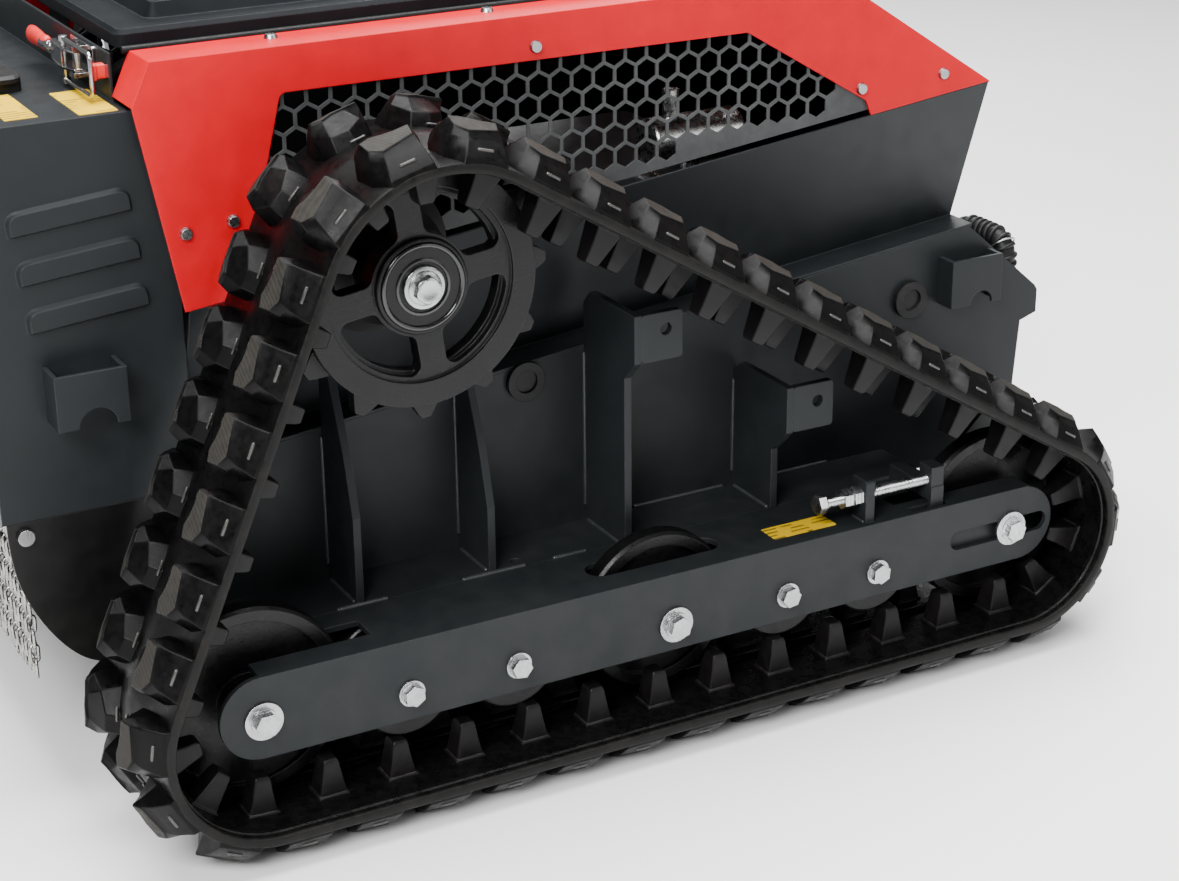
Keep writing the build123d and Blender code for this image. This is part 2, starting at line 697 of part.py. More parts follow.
# ------------------------------------------------------------------ lid and its hinges
CENTRE_W = BEAM_FACE_Y
HINGE_D, HINGE_H = 708.0, 600.0
LID_W0 = 208.0
with BuildPart() as lid:
    with BuildSketch(above(590.0)):
        with Locations(((-20.0 + 698.0) / 2, CENTRE_W)):
            RectangleRounded(718.0, 2 * (CENTRE_W - LID_W0), 10.0)
    extrude(amount=16.0)
    chamfer(lid.edges().group_by(Axis.Z)[-1], 4.0)
    with BuildSketch(above(606.0)):
        with Locations((340.0, CENTRE_W)):
            RectangleRounded(640.0, 420.0, 12.0)
    extrude(amount=14.0, taper=30)
    with BuildSketch(above(590.0)):
        with Locations(((-20.0 + 698.0) / 2, CENTRE_W)):
            RectangleRounded(710.0, 2 * (CENTRE_W - LID_W0) - 8.0, 8.0)
    extrude(amount=12.0, mode=Mode.SUBTRACT)
    with BuildSketch(above(601.0)):
        with Locations((340.0, CENTRE_W)):
            RectangleRounded(600.0, 380.0, 12.0)
    extrude(amount=15.0, mode=Mode.SUBTRACT)
    for w0 in (300.0, 580.0):
        with BuildSketch(side(w0 + 20.0)):
            with Locations((HINGE_D, HINGE_H)):
                Circle(7.5)
            with Locations((HINGE_D - 8.0, HINGE_H)):
                Rectangle(16.0, 9.0)
            with Locations((HINGE_D, HINGE_H)):
                Circle(4.08, mode=Mode.SUBTRACT)
        extrude(amount=20.0)
save(lid.part, "lid")

with BuildPart() as lid_hinges:
    for w0 in (300.0, 580.0):
        for w1 in (w0 - 0.5, w0 + 30.5):
            with BuildSketch(side(w1)):
                with Locations((HINGE_D, HINGE_H)):
                    Circle(7.0)
                with Locations((HINGE_D + 1.0, 594.0)):
                    Rectangle(14.0, 12.0)
            extrude(amount=10.0)
        with BuildSketch(side(w0 + 20.5)):
            with Locations((HINGE_D, HINGE_H)):
                Circle(4.0)
        extrude(amount=21.0)
save(lid_hinges.part, "lid_hinges")


# ------------------------------------------------------------------ front housing
FRONT_D = -180.0
RISER_D = -29.0
LOUVRE_TILT, LOUVRE_L, LOUVRE_H = 5.0, 116.0, 24.0
with BuildSketch() as louvre_outline:                   # flat lower edge, round upper corners
    Rectangle(LOUVRE_L, LOUVRE_H)
    fillet(louvre_outline.vertices().sort_by(Axis.Y)[-2:], 12.0)
    fillet(louvre_outline.vertices().sort_by(Axis.Y)[:2], 2.5)
with BuildPart() as front_housing:
    for w1 in (HULL_W + T, 2 * CENTRE_W - HULL_W):
        with BuildSketch(side(w1)):
            with BuildLine():
                Polyline((FRONT_D, 172.0), (FRONT_D, 534.0), (-171.0, 543.0), (8.0, 543.0), (8.0, 200.0),
                         (-21.0, 200.0), (-21.0, 172.0), close=True)
            make_face()
        extrude(amount=T)
    with BuildSketch(side(2 * CENTRE_W - HULL_W - T)):  # front wall and deck
        with BuildLine():
            Polyline((FRONT_D, 172.0), (FRONT_D, 534.0), (-171.0, 543.0), (-26.5, 543.0), (-26.5, 540.5),
                     (-170.0, 540.5), (FRONT_D + T, 533.0), (FRONT_D + T, 172.0), close=True)
        make_face()
    extrude(amount=2 * (CENTRE_W - HULL_W - T))
    with BuildSketch(side(2 * CENTRE_W - 207.0)):       # riser below the lid's front edge
        with Locations((RISER_D + T / 2, 564.0)):
            Rectangle(T, 46.0)
    extrude(amount=2 * (CENTRE_W - 207.0))
    for d, h in ((-90.0, 459.0), (-85.0, 413.0), (-80.5, 367.5)):
        with BuildSketch(side(HULL_W)):
            with Locations(Location((d, h, 0), (0, 0, LOUVRE_TILT))):
                add(louvre_outline.sketch)
        extrude(amount=5.0, taper=30)
        with BuildSketch(side(2 * CENTRE_W - HULL_W + 5.0)):
            with Locations(Location((d, h, 0), (0, 0, LOUVRE_TILT))):
                Rectangle(LOUVRE_L - 8.0, LOUVRE_H - 6.0)
        extrude(amount=5.0)
save(front_housing.part, "front_housing")

with BuildPart() as notch_brackets:
    for d0, d1, h0, h1, w0, notch in ((-128.0, -60.0, 266.0, 319.0, 130.0, 18.0), (878.0, 946.0, 206.0, 260.0, 140.0, 15.0)):
        mid = (d0 + d1) / 2 + (4.0 if d0 < 0 else 7.0)
        with BuildSketch(side(w0 + 4.0)):
            with Locations(((d0 + d1) / 2, (h0 + h1) / 2)):
                Rectangle(d1 - d0, h1 - h0)
            with Locations((mid, h0)):
                Circle(notch, mode=Mode.SUBTRACT)
        extrude(amount=4.0)
        with BuildSketch(side(HULL_W)):
            for d in (d0 + 2.0, d1 - 2.0):
                with Locations((d, (h0 + h1) / 2)):
                    Rectangle(4.0, h1 - h0)
        extrude(amount=HULL_W - w0 - 4.0)
    mirror(about=Plane.XZ)
save(notch_brackets.part, "notch_brackets")

with BuildPart() as side_skirts:
    with BuildSketch(side(HULL_W + 3.0)):
        with BuildLine():
            l1 = Polyline((-45.0, 5.0), (-21.0, 5.0), (-21.0, 171.5), (-176.0, 171.5))
            Spline((-176.0, 171.5), (-165.0, 95.0), (-126.0, 30.0), (-45.0, 5.0),
                   tangents=((0.0, -1.0), (1.0, -0.05)))
        make_face()
        with Locations((-160.0, 158.0)):
            Circle(5.0, mode=Mode.SUBTRACT)
    extrude(amount=3.0)
    mirror(about=Plane.XZ)
save(side_skirts.part, "side_skirts")


# ------------------------------------------------------------------ chain curtain on its rail
RAIL_D, RAIL_H = -160.0, 158.0
with BuildPart() as curtain_rail:
    with BuildSketch(side(2 * CENTRE_W - HULL_W)):
        with Locations((RAIL_D, RAIL_H)):
            Circle(5.0)
    extrude(amount=2 * (CENTRE_W - HULL_W))
    for w1 in (HULL_W, 2 * CENTRE_W - HULL_W + 6.0):
        with BuildSketch(side(w1)):
            with Locations((RAIL_D, RAIL_H)):
                Circle(8.0)
        extrude(amount=6.0)
save(curtain_rail.part, "curtain_rail")

CURTAIN_W0, STRAND = 173.0, 14.0
STRANDS = 40
CURTAIN_PITCH = (2 * (CENTRE_W - CURTAIN_W0) - 11.0) / (STRANDS - 1)
with BuildPart() as chain_curtain:
    with BuildSketch(side(2 * CENTRE_W - CURTAIN_W0)):
        with Locations((RAIL_D, RAIL_H)):
            Circle(8.0)
            Circle(5.1, mode=Mode.SUBTRACT)
    extrude(amount=2 * (CENTRE_W - CURTAIN_W0))
    with BuildSketch(across(RAIL_D - 3.5)):
        for k in range(STRANDS):
            with Locations((CURTAIN_W0 + 5.5 + k * CURTAIN_PITCH, 77.0)):
                Rectangle(11.0, 148.0)
        with Locations((CENTRE_W, 148.5)):
            Rectangle(2 * (CENTRE_W - CURTAIN_W0), 7.0)
    extrude(amount=7.0)
save(chain_curtain.part, "chain_curtain")


# ------------------------------------------------------------------ toggle latch on the riser
LP_W, LP_D = 262.0, -41.0          # lever pivot
with BuildPart() as latch_base:
    with BuildSketch(across(RISER_D - 3.0)):
        with Locations((276.0, 571.0)):
            RectangleRounded(66.0, 30.0, 3.0)
    extrude(amount=3.0)
    for h in (556.5, 581.5):
        with BuildSketch(above(h)):
            with Locations((-38.0, LP_W)):
                Rectangle(18.0, 14.0)
            with Locations((LP_D, LP_W)):
                Circle(3.08, mode=Mode.SUBTRACT)
        extrude(amount=4.0)
    with BuildSketch(across(RISER_D - 15.0)):           # catch for the bail
        with Locations((212.0, 571.0)):
            Rectangle(8.0, 12.0)
    extrude(amount=15.0)
save(latch_base.part, "latch_base")

BP_W, BP_D = 282.0, -47.0          # bail pivot on the lever
with BuildPart() as latch_lever:
    with BuildSketch(above(561.0)):
        with BuildLine():
            Polyline((-36.0, 257.0), (-46.0, 257.0), (-52.0, 276.0), (-52.0, 292.0), (-47.0, 340.0),
                     (-49.0, 398.0), (-40.0, 398.0), (-37.0, 340.0), close=True)
        make_face()
        with Locations((BP_D, BP_W)):
            Circle(3.0, mode=Mode.SUBTRACT)
    extrude(amount=20.0)
    with BuildSketch(above(556.5)):                     # pivot pin
        with Locations((LP_D, LP_W)):
            Circle(3.0)
    extrude(amount=29.0)
save(latch_lever.part, "latch_lever")

with BuildPart() as latch_bail:
    with BuildSketch(above(552.0)):                     # pin through the lever
        with Locations((BP_D, BP_W)):
            Circle(2.5)
    extrude(amount=38.0)
    for h in (549.0, 589.0):
        with BuildSketch(above(h - 2.5)):
            with BuildLine():
                Polyline((BP_D - 2.5, BP_W + 2.5), (BP_D - 2.5, 202.5), (BP_D + 2.5, 202.5), (BP_D + 2.5, BP_W + 2.5),
                         close=True)
            make_face()
        extrude(amount=5.0)
    with BuildSketch(above(549.0)):
        with Locations((BP_D + 3.5, 205.0)):
            Rectangle(12.0, 5.0)
    extrude(amount=40.0)
save(latch_bail.part, "latch_bail")


# ------------------------------------------------------------------ small fittings
with BuildPart() as hull_grommets:
    for d, h in ((838.0, 218.0), (361.0, 213.0)):
        with BuildSketch(side(HULL_W)):
            with Locations((d, h)):
                Circle(21.0)
                Circle(12.0, mode=Mode.SUBTRACT)
        extrude(amount=6.0)
        with BuildSketch(side(HULL_W)):
            with Locations((d, h)):
                Circle(13.0)
        extrude(amount=3.0)
    mirror(about=Plane.XZ)
save(hull_grommets.part, "hull_grommets")

LOOM_D = 984.0
with BuildPart() as rear_loom:
    with BuildLine(across(LOOM_D)) as loom_path:
        FilletPolyline((262.0, 215.0), (262.0, 257.0), (184.0, 257.0), (184.0, 215.0), radius=20.0)
    with BuildSketch(above(215.0)):
        with Locations((LOOM_D, 262.0)):
            Circle(14.0)
    sweep()
    with BuildSketch(side(300.0)):
        with BuildLine():
            Polyline((917.0, 289.2), (1040.0, 289.2 - 123.0 * (84.0 / 97.0)), (1040.0, 150.0), (917.0, 150.0), close=True)
        make_face()
    extrude(amount=150.0, mode=Mode.SUBTRACT)
save(rear_loom.part, "rear_loom")

with BuildPart() as warning_labels:
    for plane, at, size in ((above(BEAM_TOP), (611.0, 33.0), (76.5, 28.0)),
                            (above(543.0), (-52.0, 218.0), (36.0, 92.0)),
                            (above(543.0), (-118.0, 232.0), (30.0, 96.0))):
        with BuildSketch(plane):
            with Locations(at):
                RectangleRounded(size[0], size[1], 2.0)
        extrude(amount=0.4)
    with BuildSketch(above(BEAM_TOP)):
        with Locations((611.0, (2 * CENTRE_W - 33.0))):
            RectangleRounded(76.5, 28.0, 2.0)
    extrude(amount=0.4)
save(warning_labels.part, "warning_labels")

with BuildPart() as deck_handle:
    with BuildSketch(above(543.0)):
        for w in (300.0, 400.0):
            with Locations((-104.0, w)):
                RectangleRounded(34.0, 26.0, 6.0)
    extrude(amount=9.0)
    with BuildSketch(above(552.0)):
        with Locations((-104.0, 350.0)):
            RectangleRounded(34.0, 136.0, 12.0)
    extrude(amount=7.0)
    chamfer(deck_handle.edges().group_by(Axis.Z)[-1], 3.0)
save(deck_handle.part, "deck_handle")


# ------------------------------------------------------------------ inside the hull
FLOOR = HULL_BOTTOM + HULL_T
with BuildPart() as engine:
    with BuildSketch(above(FLOOR)):
        with Locations((600.0, CENTRE_W)):
            RectangleRounded(260.0, 300.0, 12.0)
    extrude(amount=170.0)
    with BuildSketch(above(FLOOR + 170.0)):
        with Locations((600.0, CENTRE_W)):
            RectangleRounded(220.0, 230.0, 16.0)
    extrude(amount=180.0)
    fillet(engine.edges().group_by(Axis.Z)[-1], 14.0)
    with BuildSketch(side(CENTRE_W + 150.0)):
        with Locations((600.0, FLOOR + 120.0)):
            Circle(88.0)
    extrude(amount=60.0, both=True)
save(engine.part, "engine")

with BuildPart() as muffler:
    with BuildSketch(Plane(origin=(AXLE_X - 655.0, BEAM_FACE_Y - 238.0, AXLE_Z + 418.0), x_dir=(0, 1, 0), z_dir=(1, 0, 0))):
        Circle(26.0)
    extrude(amount=110.0)
    fillet(muffler.edges().filter_by(GeomType.CIRCLE), 6.0)
    with BuildSketch(side(335.0)):
        with Locations((600.0, 350.0)):
            Circle(11.0)
    extrude(amount=97.0)
    with BuildSketch(above(350.0)):
        with Locations((600.0, 238.0)):
            Circle(11.0)
    extrude(amount=60.0)
    with BuildSketch(above(436.0)):
        with Locations((575.0, 238.0)):
            Circle(9.0)
    extrude(amount=36.0)
save(muffler.part, "muffler")

with BuildPart() as battery_pack:
    with BuildSketch(above(FLOOR)):
        with Locations((180.0, CENTRE_W)):
            RectangleRounded(300.0, 240.0, 10.0)
    extrude(amount=190.0)
    chamfer(battery_pack.edges().group_by(Axis.Z)[-1], 5.0)
save(battery_pack.part, "battery_pack")

print("pitch %.2f mm, track length %.0f mm" % (PITCH, PERIMETER))
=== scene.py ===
import bpy
import bmesh
import json
import math
import random
import numpy as np
from mathutils import Vector, Matrix


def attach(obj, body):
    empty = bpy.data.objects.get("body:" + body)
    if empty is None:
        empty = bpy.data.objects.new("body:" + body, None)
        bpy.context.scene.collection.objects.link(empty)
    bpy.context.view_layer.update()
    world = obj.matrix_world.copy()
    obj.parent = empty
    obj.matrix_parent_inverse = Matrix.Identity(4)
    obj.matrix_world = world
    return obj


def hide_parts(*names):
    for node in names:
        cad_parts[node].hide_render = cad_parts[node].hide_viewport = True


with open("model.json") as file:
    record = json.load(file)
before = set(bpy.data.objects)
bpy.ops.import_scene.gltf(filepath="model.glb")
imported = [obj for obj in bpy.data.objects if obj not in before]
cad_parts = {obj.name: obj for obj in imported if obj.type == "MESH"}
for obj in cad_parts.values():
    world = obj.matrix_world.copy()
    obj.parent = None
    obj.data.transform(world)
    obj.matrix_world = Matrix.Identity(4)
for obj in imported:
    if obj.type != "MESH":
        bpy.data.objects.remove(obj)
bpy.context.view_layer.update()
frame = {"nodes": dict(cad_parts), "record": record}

NODES = frame["nodes"]
RECORD = frame["record"]
random.seed(7)


# ------------------------------------------------------------------ camera
def make_camera():
    fwd = Vector((-0.4413, -0.8132, -0.3795)).normalized()
    right = Vector((-0.8789, 0.4770, 0.0)).normalized()
    up = right.cross(fwd).normalized()
    roll = math.radians(-0.59)
    r = right * math.cos(roll) + up * math.sin(roll)
    u = -right * math.sin(roll) + up * math.cos(roll)
    data = bpy.data.cameras.new("camera")
    data.lens = 71.66
    data.sensor_width = 36.0
    data.clip_start = 0.05
    data.clip_end = 200.0
    cam = bpy.data.objects.new("camera", data)
    bpy.context.scene.collection.objects.link(cam)
    m = Matrix.Identity(4)
    for i in range(3):
        m[i][0], m[i][1], m[i][2] = r[i], u[i], -fwd[i]
    m[0][3], m[1][3], m[2][3] = 1.0627, 2.2734, 1.1996
    cam.matrix_world = m
    bpy.context.scene.camera = cam


make_camera()


# ------------------------------------------------------------------ node helpers
class Tree:
    def __init__(self, name):
        self.mat = bpy.data.materials.new(name)
        self.mat.use_nodes = True
        self.nt = self.mat.node_tree
        self.nt.nodes.clear()
        self.out = self.nt.nodes.new("ShaderNodeOutputMaterial")
        self.bsdf = self.nt.nodes.new("ShaderNodeBsdfPrincipled")
        self.nt.links.new(self.bsdf.outputs["BSDF"], self.out.inputs["Surface"])
        self.coord = self.nt.nodes.new("ShaderNodeTexCoord").outputs["Object"]

    def link(self, a, b):
        self.nt.links.new(a, b)

    def put(self, key, value):
        self.bsdf.inputs[key].default_value = value

    def noise(self, scale, detail=3.0, rough=0.55, distortion=0.0, coord=None):
        n = self.nt.nodes.new("ShaderNodeTexNoise")
        n.inputs["Scale"].default_value = scale
        n.inputs["Detail"].default_value = detail
        n.inputs["Roughness"].default_value = rough
        n.inputs["Distortion"].default_value = distortion
        self.link(coord or self.coord, n.inputs["Vector"])
        return n.outputs[0]

    def voronoi(self, scale, feature="F1"):
        n = self.nt.nodes.new("ShaderNodeTexVoronoi")
        n.feature = feature
        n.inputs["Scale"].default_value = scale
        self.link(self.coord, n.inputs["Vector"])
        return n.outputs["Distance"]

    def wave(self, scale, axis="X", distortion=0.0, detail_scale=1.0, profile="SIN", coord=None):
        n = self.nt.nodes.new("ShaderNodeTexWave")
        n.wave_type = "BANDS"
        n.bands_direction = axis
        n.wave_profile = profile
        n.inputs["Scale"].default_value = scale
        n.inputs["Distortion"].default_value = distortion
        n.inputs["Detail Scale"].default_value = detail_scale
        self.link(coord or self.coord, n.inputs["Vector"])
        return n.outputs["Fac"]

    def remap(self, value, a, b, c, d, clamp=True):
        n = self.nt.nodes.new("ShaderNodeMapRange")
        n.clamp = clamp
        for key, v in (("From Min", a), ("From Max", b), ("To Min", c), ("To Max", d)):
            n.inputs[key].default_value = v
        self.link(value, n.inputs["Value"])
        return n.outputs["Result"]

    def math(self, op, a, b=None):
        n = self.nt.nodes.new("ShaderNodeMath")
        n.operation = op
        for i, v in enumerate((a, b)):
            if v is None:
                continue
            if isinstance(v, (int, float)):
                n.inputs[i].default_value = v
            else:
                self.link(v, n.inputs[i])
        return n.outputs[0]

    def mix(self, fac, a, b):
        n = self.nt.nodes.new("ShaderNodeMix")
        n.data_type = "RGBA"
        if isinstance(fac, (int, float)):
            n.inputs[0].default_value = fac
        else:
            self.link(fac, n.inputs[0])
        for i, v in ((6, a), (7, b)):
            if isinstance(v, (tuple, list)):
                n.inputs[i].default_value = (*v[:3], 1.0)
            else:
                self.link(v, n.inputs[i])
        return n.outputs[2]

    def bump(self, height, strength, distance, normal=None):
        n = self.nt.nodes.new("ShaderNodeBump")
        n.inputs["Strength"].default_value = strength
        n.inputs["Distance"].default_value = distance
        self.link(height, n.inputs["Height"])
        if normal is not None:
            self.link(normal, n.inputs["Normal"])
        return n.outputs["Normal"]

    def edge(self, radius):
        """Rounded normal, and a mask that is 1 on sharp edges."""
        b = self.nt.nodes.new("ShaderNodeBevel")
        b.samples = 4
        b.inputs["Radius"].default_value = radius
        g = self.nt.nodes.new("ShaderNodeNewGeometry")
        d = self.nt.nodes.new("ShaderNodeVectorMath")
        d.operation = "DOT_PRODUCT"
        self.link(b.outputs["Normal"], d.inputs[0])
        self.link(g.outputs["Normal"], d.inputs[1])
        return b.outputs["Normal"], self.remap(d.outputs["Value"], 0.80, 0.985, 1.0, 0.0)

    def axis(self, which):
        n = self.nt.nodes.new("ShaderNodeSeparateXYZ")
        self.link(self.coord, n.inputs[0])
        return n.outputs[which]


def surface(name, lo, hi, rough=(0.4, 0.55), metallic=0.0, broad=7.0, fine=900.0, strength=0.15,
            distance=0.0004, edge_radius=0.0012, edge_highlight_colour=None, edge_highlight_amount=0.6, coat=0.0,
            coat_rough=0.1, spec=0.5, dust=None, scratch=0.0, speckle=None):
    """A coated or cast surface: broad colour drift, fine grain, rounded edges with a painted edge highlight that partly
    stands for wear, dust in the low parts.
    """
    t = Tree(name)
    broad_n = t.noise(broad, 4.0, 0.6)
    mid_n = t.noise(broad * 9.0, 3.0, 0.6)
    fine_n = t.noise(fine, 2.0, 0.6)
    fac = t.remap(t.math("ADD", t.math("MULTIPLY", broad_n, 0.65), t.math("MULTIPLY", mid_n, 0.35)), 0.36, 0.64, 0.0, 1.0)
    colour = t.mix(fac, lo, hi)
    if speckle is not None:
        s = t.remap(t.noise(fine * 0.6, 1.0, 0.5), 0.60, 0.70, 0.0, speckle[1])
        colour = t.mix(s, colour, speckle[0])
    normal = None
    if edge_radius:
        normal, mask = t.edge(edge_radius)
        # sharp edges are mixed towards a lighter colour: a painted edge highlight, partly standing for wear
        if edge_highlight_colour is not None:
            broken = t.remap(t.noise(120.0, 3.0, 0.7), 0.35, 0.60, 0.35, 1.0)
            colour = t.mix(t.math("MULTIPLY", t.math("MULTIPLY", mask, broken), edge_highlight_amount), colour, edge_highlight_colour)
    if dust is not None:
        low = t.remap(t.axis("Z"), dust[2], 0.0, 0.0, 1.0)
        cloud = t.remap(t.noise(22.0, 5.0, 0.65), 0.40, 0.68, 0.0, dust[1])
        colour = t.mix(t.math("MULTIPLY", low, cloud), colour, dust[0])
    t.link(colour, t.bsdf.inputs["Base Color"])
    r = t.remap(t.math("ADD", t.math("MULTIPLY", mid_n, 0.6), t.math("MULTIPLY", fine_n, 0.4)), 0.35, 0.65, rough[0], rough[1])
    t.link(r, t.bsdf.inputs["Roughness"])
    height = fine_n
    if scratch:
        line = t.remap(t.noise(60.0, 2.0, 0.5, 6.0), 0.495, 0.505, 0.0, scratch)
        height = t.math("SUBTRACT", fine_n, line)
    t.link(t.bump(height, strength, distance, normal), t.bsdf.inputs["Normal"])
    t.put("Metallic", metallic)
    t.put("Specular IOR Level", spec)
    if coat:
        t.put("Coat Weight", coat)
        t.put("Coat Roughness", coat_rough)
    return t.mat


DUST = (0.16, 0.145, 0.12)
MAT = {}
MAT["charcoal_paint"] = surface("charcoal_paint", (0.0090, 0.0108, 0.0120), (0.0128, 0.0148, 0.0160), rough=(0.38, 0.52),
                                broad=5.0, fine=1400.0, strength=0.22, distance=0.0003, edge_radius=0.0016,
                                edge_highlight_colour=(0.055, 0.060, 0.064), edge_highlight_amount=0.55, spec=0.17,
                                dust=(DUST, 0.06, 0.30))
MAT["red_paint"] = surface("red_paint", (0.40, 0.0004, 0.0060), (0.50, 0.0008, 0.0085), rough=(0.32, 0.46), broad=4.0,
                           fine=1100.0, strength=0.30, distance=0.00035, edge_radius=0.0018,
                           edge_highlight_colour=(0.70, 0.04, 0.045), edge_highlight_amount=0.5, spec=0.14)
MAT["mesh_grey"] = surface("mesh_grey", (0.030, 0.031, 0.032), (0.052, 0.054, 0.055), rough=(0.38, 0.52), broad=14.0,
                           fine=1500.0, strength=0.15, edge_radius=0.0005, edge_highlight_colour=(0.12, 0.12, 0.12),
                           edge_highlight_amount=0.5, spec=0.2)
MAT["cast_black"] = surface("cast_black", (0.0016, 0.0016, 0.0018), (0.0045, 0.0045, 0.0047), rough=(0.26, 0.42), broad=16.0,
                            fine=420.0, strength=0.35, distance=0.0006, edge_radius=0.0018,
                            edge_highlight_colour=(0.050, 0.048, 0.044), edge_highlight_amount=0.6, spec=0.22)
MAT["motor_black"] = surface("motor_black", (0.004, 0.004, 0.0046), (0.009, 0.009, 0.0098), rough=(0.34, 0.5), broad=12.0,
                             fine=700.0, strength=0.25, edge_radius=0.0015, edge_highlight_colour=(0.035, 0.035, 0.035),
                             edge_highlight_amount=0.4, spec=0.2)
MAT["lid_black"] = surface("lid_black", (0.0040, 0.0048, 0.0058), (0.0070, 0.0081, 0.0094), rough=(0.46, 0.60), broad=4.0,
                           fine=1300.0, strength=0.2, edge_radius=0.002, edge_highlight_colour=(0.075, 0.080, 0.085),
                           edge_highlight_amount=0.6, spec=0.06)
MAT["black_paint"] = surface("black_paint", (0.0022, 0.0022, 0.0022), (0.0050, 0.0050, 0.0050), rough=(0.30, 0.42), broad=6.0,
                             fine=1200.0, strength=0.15, edge_radius=0.0012, edge_highlight_colour=(0.025, 0.025, 0.025),
                             edge_highlight_amount=0.5, dust=(DUST, 0.04, 0.30), spec=0.2)
MAT["black_plastic"] = surface("black_plastic", (0.0040, 0.0040, 0.0044), (0.0080, 0.0080, 0.0084), rough=(0.38, 0.52),
                               broad=20.0, fine=1600.0, strength=0.35, distance=0.0003, edge_radius=0.001,
                               edge_highlight_colour=(0.025, 0.025, 0.025), edge_highlight_amount=0.4, spec=0.25)
MAT["battery_case"] = surface("battery_case", (0.012, 0.012, 0.014), (0.022, 0.022, 0.024), rough=(0.45, 0.6),
                              broad=9.0, fine=1000.0, strength=0.3, edge_radius=0.0015,
                              edge_highlight_colour=(0.12, 0.12, 0.12), edge_highlight_amount=0.4)
MAT["black_rubber"] = surface("black_rubber", (0.0028, 0.0028, 0.0028), (0.0070, 0.0070, 0.0070), rough=(0.34, 0.55),
                              broad=30.0, fine=800.0, strength=0.3, edge_radius=0.0012,
                              edge_highlight_colour=(0.024, 0.024, 0.024), edge_highlight_amount=0.4, spec=0.2)
MAT["zinc_fastener"] = surface("zinc_fastener", (0.30, 0.305, 0.31), (0.44, 0.445, 0.45), rough=(0.20, 0.38), metallic=1.0,
                               broad=45.0, fine=1500.0, strength=0.12, distance=0.0002, edge_radius=0.0006,
                               edge_highlight_colour=(0.75, 0.75, 0.75), edge_highlight_amount=0.6, scratch=0.4)
MAT["chrome_latch"] = surface("chrome_latch", (0.36, 0.36, 0.37), (0.52, 0.52, 0.53), rough=(0.10, 0.24), metallic=1.0,
                              broad=50.0, fine=1200.0, strength=0.10, distance=0.0002, edge_radius=0.0006,
                              edge_highlight_colour=(0.95, 0.95, 0.95), edge_highlight_amount=0.5, scratch=0.5)
MAT["machined_steel"] = surface("machined_steel", (0.16, 0.16, 0.165), (0.26, 0.26, 0.265), rough=(0.24, 0.40),
                                metallic=1.0, broad=40.0, fine=900.0, strength=0.2, distance=0.0002,
                                edge_radius=0.0008, edge_highlight_colour=(0.8, 0.8, 0.8), edge_highlight_amount=0.4, scratch=0.6)
MAT["chain_steel"] = surface("chain_steel", (0.18, 0.175, 0.165), (0.40, 0.395, 0.385), rough=(0.22, 0.45), metallic=1.0,
                             broad=60.0, fine=900.0, strength=0.2, distance=0.0002, edge_radius=0.0, scratch=0.5)
MAT["engine_alloy"] = surface("engine_alloy", (0.10, 0.10, 0.105), (0.18, 0.18, 0.185), rough=(0.38, 0.6), metallic=0.9,
                              broad=18.0, fine=500.0, strength=0.5, distance=0.0006, edge_radius=0.0015,
                              edge_highlight_colour=(0.7, 0.7, 0.7), edge_highlight_amount=0.4)
MAT["muffler_steel"] = surface("muffler_steel", (0.40, 0.395, 0.39), (0.60, 0.595, 0.59), rough=(0.18, 0.36), metallic=1.0,
                               broad=20.0, fine=700.0, strength=0.15, edge_radius=0.001,
                               edge_highlight_colour=(0.9, 0.9, 0.9), edge_highlight_amount=0.4)
MAT["gloss_black"] = surface("gloss_black", (0.0016, 0.0016, 0.0018), (0.0036, 0.0036, 0.0038), rough=(0.10, 0.20),
                             broad=20.0, fine=900.0, strength=0.08, edge_radius=0.001,
                             edge_highlight_colour=(0.05, 0.05, 0.05), edge_highlight_amount=0.3, spec=0.6)
MAT["red_grip"] = surface("red_grip", (0.42, 0.012, 0.010), (0.60, 0.020, 0.016), rough=(0.30, 0.45), broad=40.0,
                          fine=1200.0, strength=0.2, edge_radius=0.0008, edge_highlight_colour=(0.9, 0.2, 0.18),
                          edge_highlight_amount=0.4)
MAT["weld"] = surface("weld", (0.017, 0.019, 0.021), (0.030, 0.033, 0.035), rough=(0.30, 0.45), broad=60.0, fine=900.0,
                      strength=0.3, edge_radius=0.0)


def rubber(name, lo, hi, rough, lines=None, coat=0.0, spec=0.5, worn=0.0):
    t = Tree(name)
    big, mid, fine = t.noise(9.0, 4.0, 0.6), t.noise(110.0, 4.0, 0.65), t.noise(1100.0, 2.0, 0.6)
    fac = t.remap(t.math("ADD", t.math("MULTIPLY", big, 0.45), t.math("MULTIPLY", mid, 0.55)), 0.36, 0.62, 0.0, 1.0)
    colour = t.mix(fac, lo, hi)
    normal, mask = t.edge(0.0014)
    # sharp edges are mixed towards a lighter grey: a painted edge highlight, partly standing for scuffing
    broken = t.remap(mid, 0.40, 0.60, 0.2, 1.0)
    colour = t.mix(t.math("MULTIPLY", t.math("MULTIPLY", mask, broken), 0.55), colour, (0.050, 0.047, 0.043))
    if worn:
        scuff = t.remap(t.noise(38.0, 5.0, 0.75), 0.50, 0.66, 0.0, worn)
        colour = t.mix(scuff, colour, (0.020, 0.018, 0.016))
    height = t.math("ADD", t.math("MULTIPLY", fine, 0.5), t.math("MULTIPLY", mid, 0.5))
    if lines:
        ridge = t.wave(lines[0], lines[1], 0.4, 2.0)
        colour = t.mix(t.math("MULTIPLY", ridge, lines[2]), colour, (0.034, 0.031, 0.027))
        height = t.math("ADD", height, t.math("MULTIPLY", ridge, 0.8))
    t.link(colour, t.bsdf.inputs["Base Color"])
    t.link(t.remap(mid, 0.35, 0.65, rough[0], rough[1]), t.bsdf.inputs["Roughness"])
    t.link(t.bump(height, 0.35, 0.0006, normal), t.bsdf.inputs["Normal"])
    t.put("Specular IOR Level", spec)
    if coat:
        t.put("Coat Weight", coat)
        t.put("Coat Roughness", 0.18)
    return t.mat


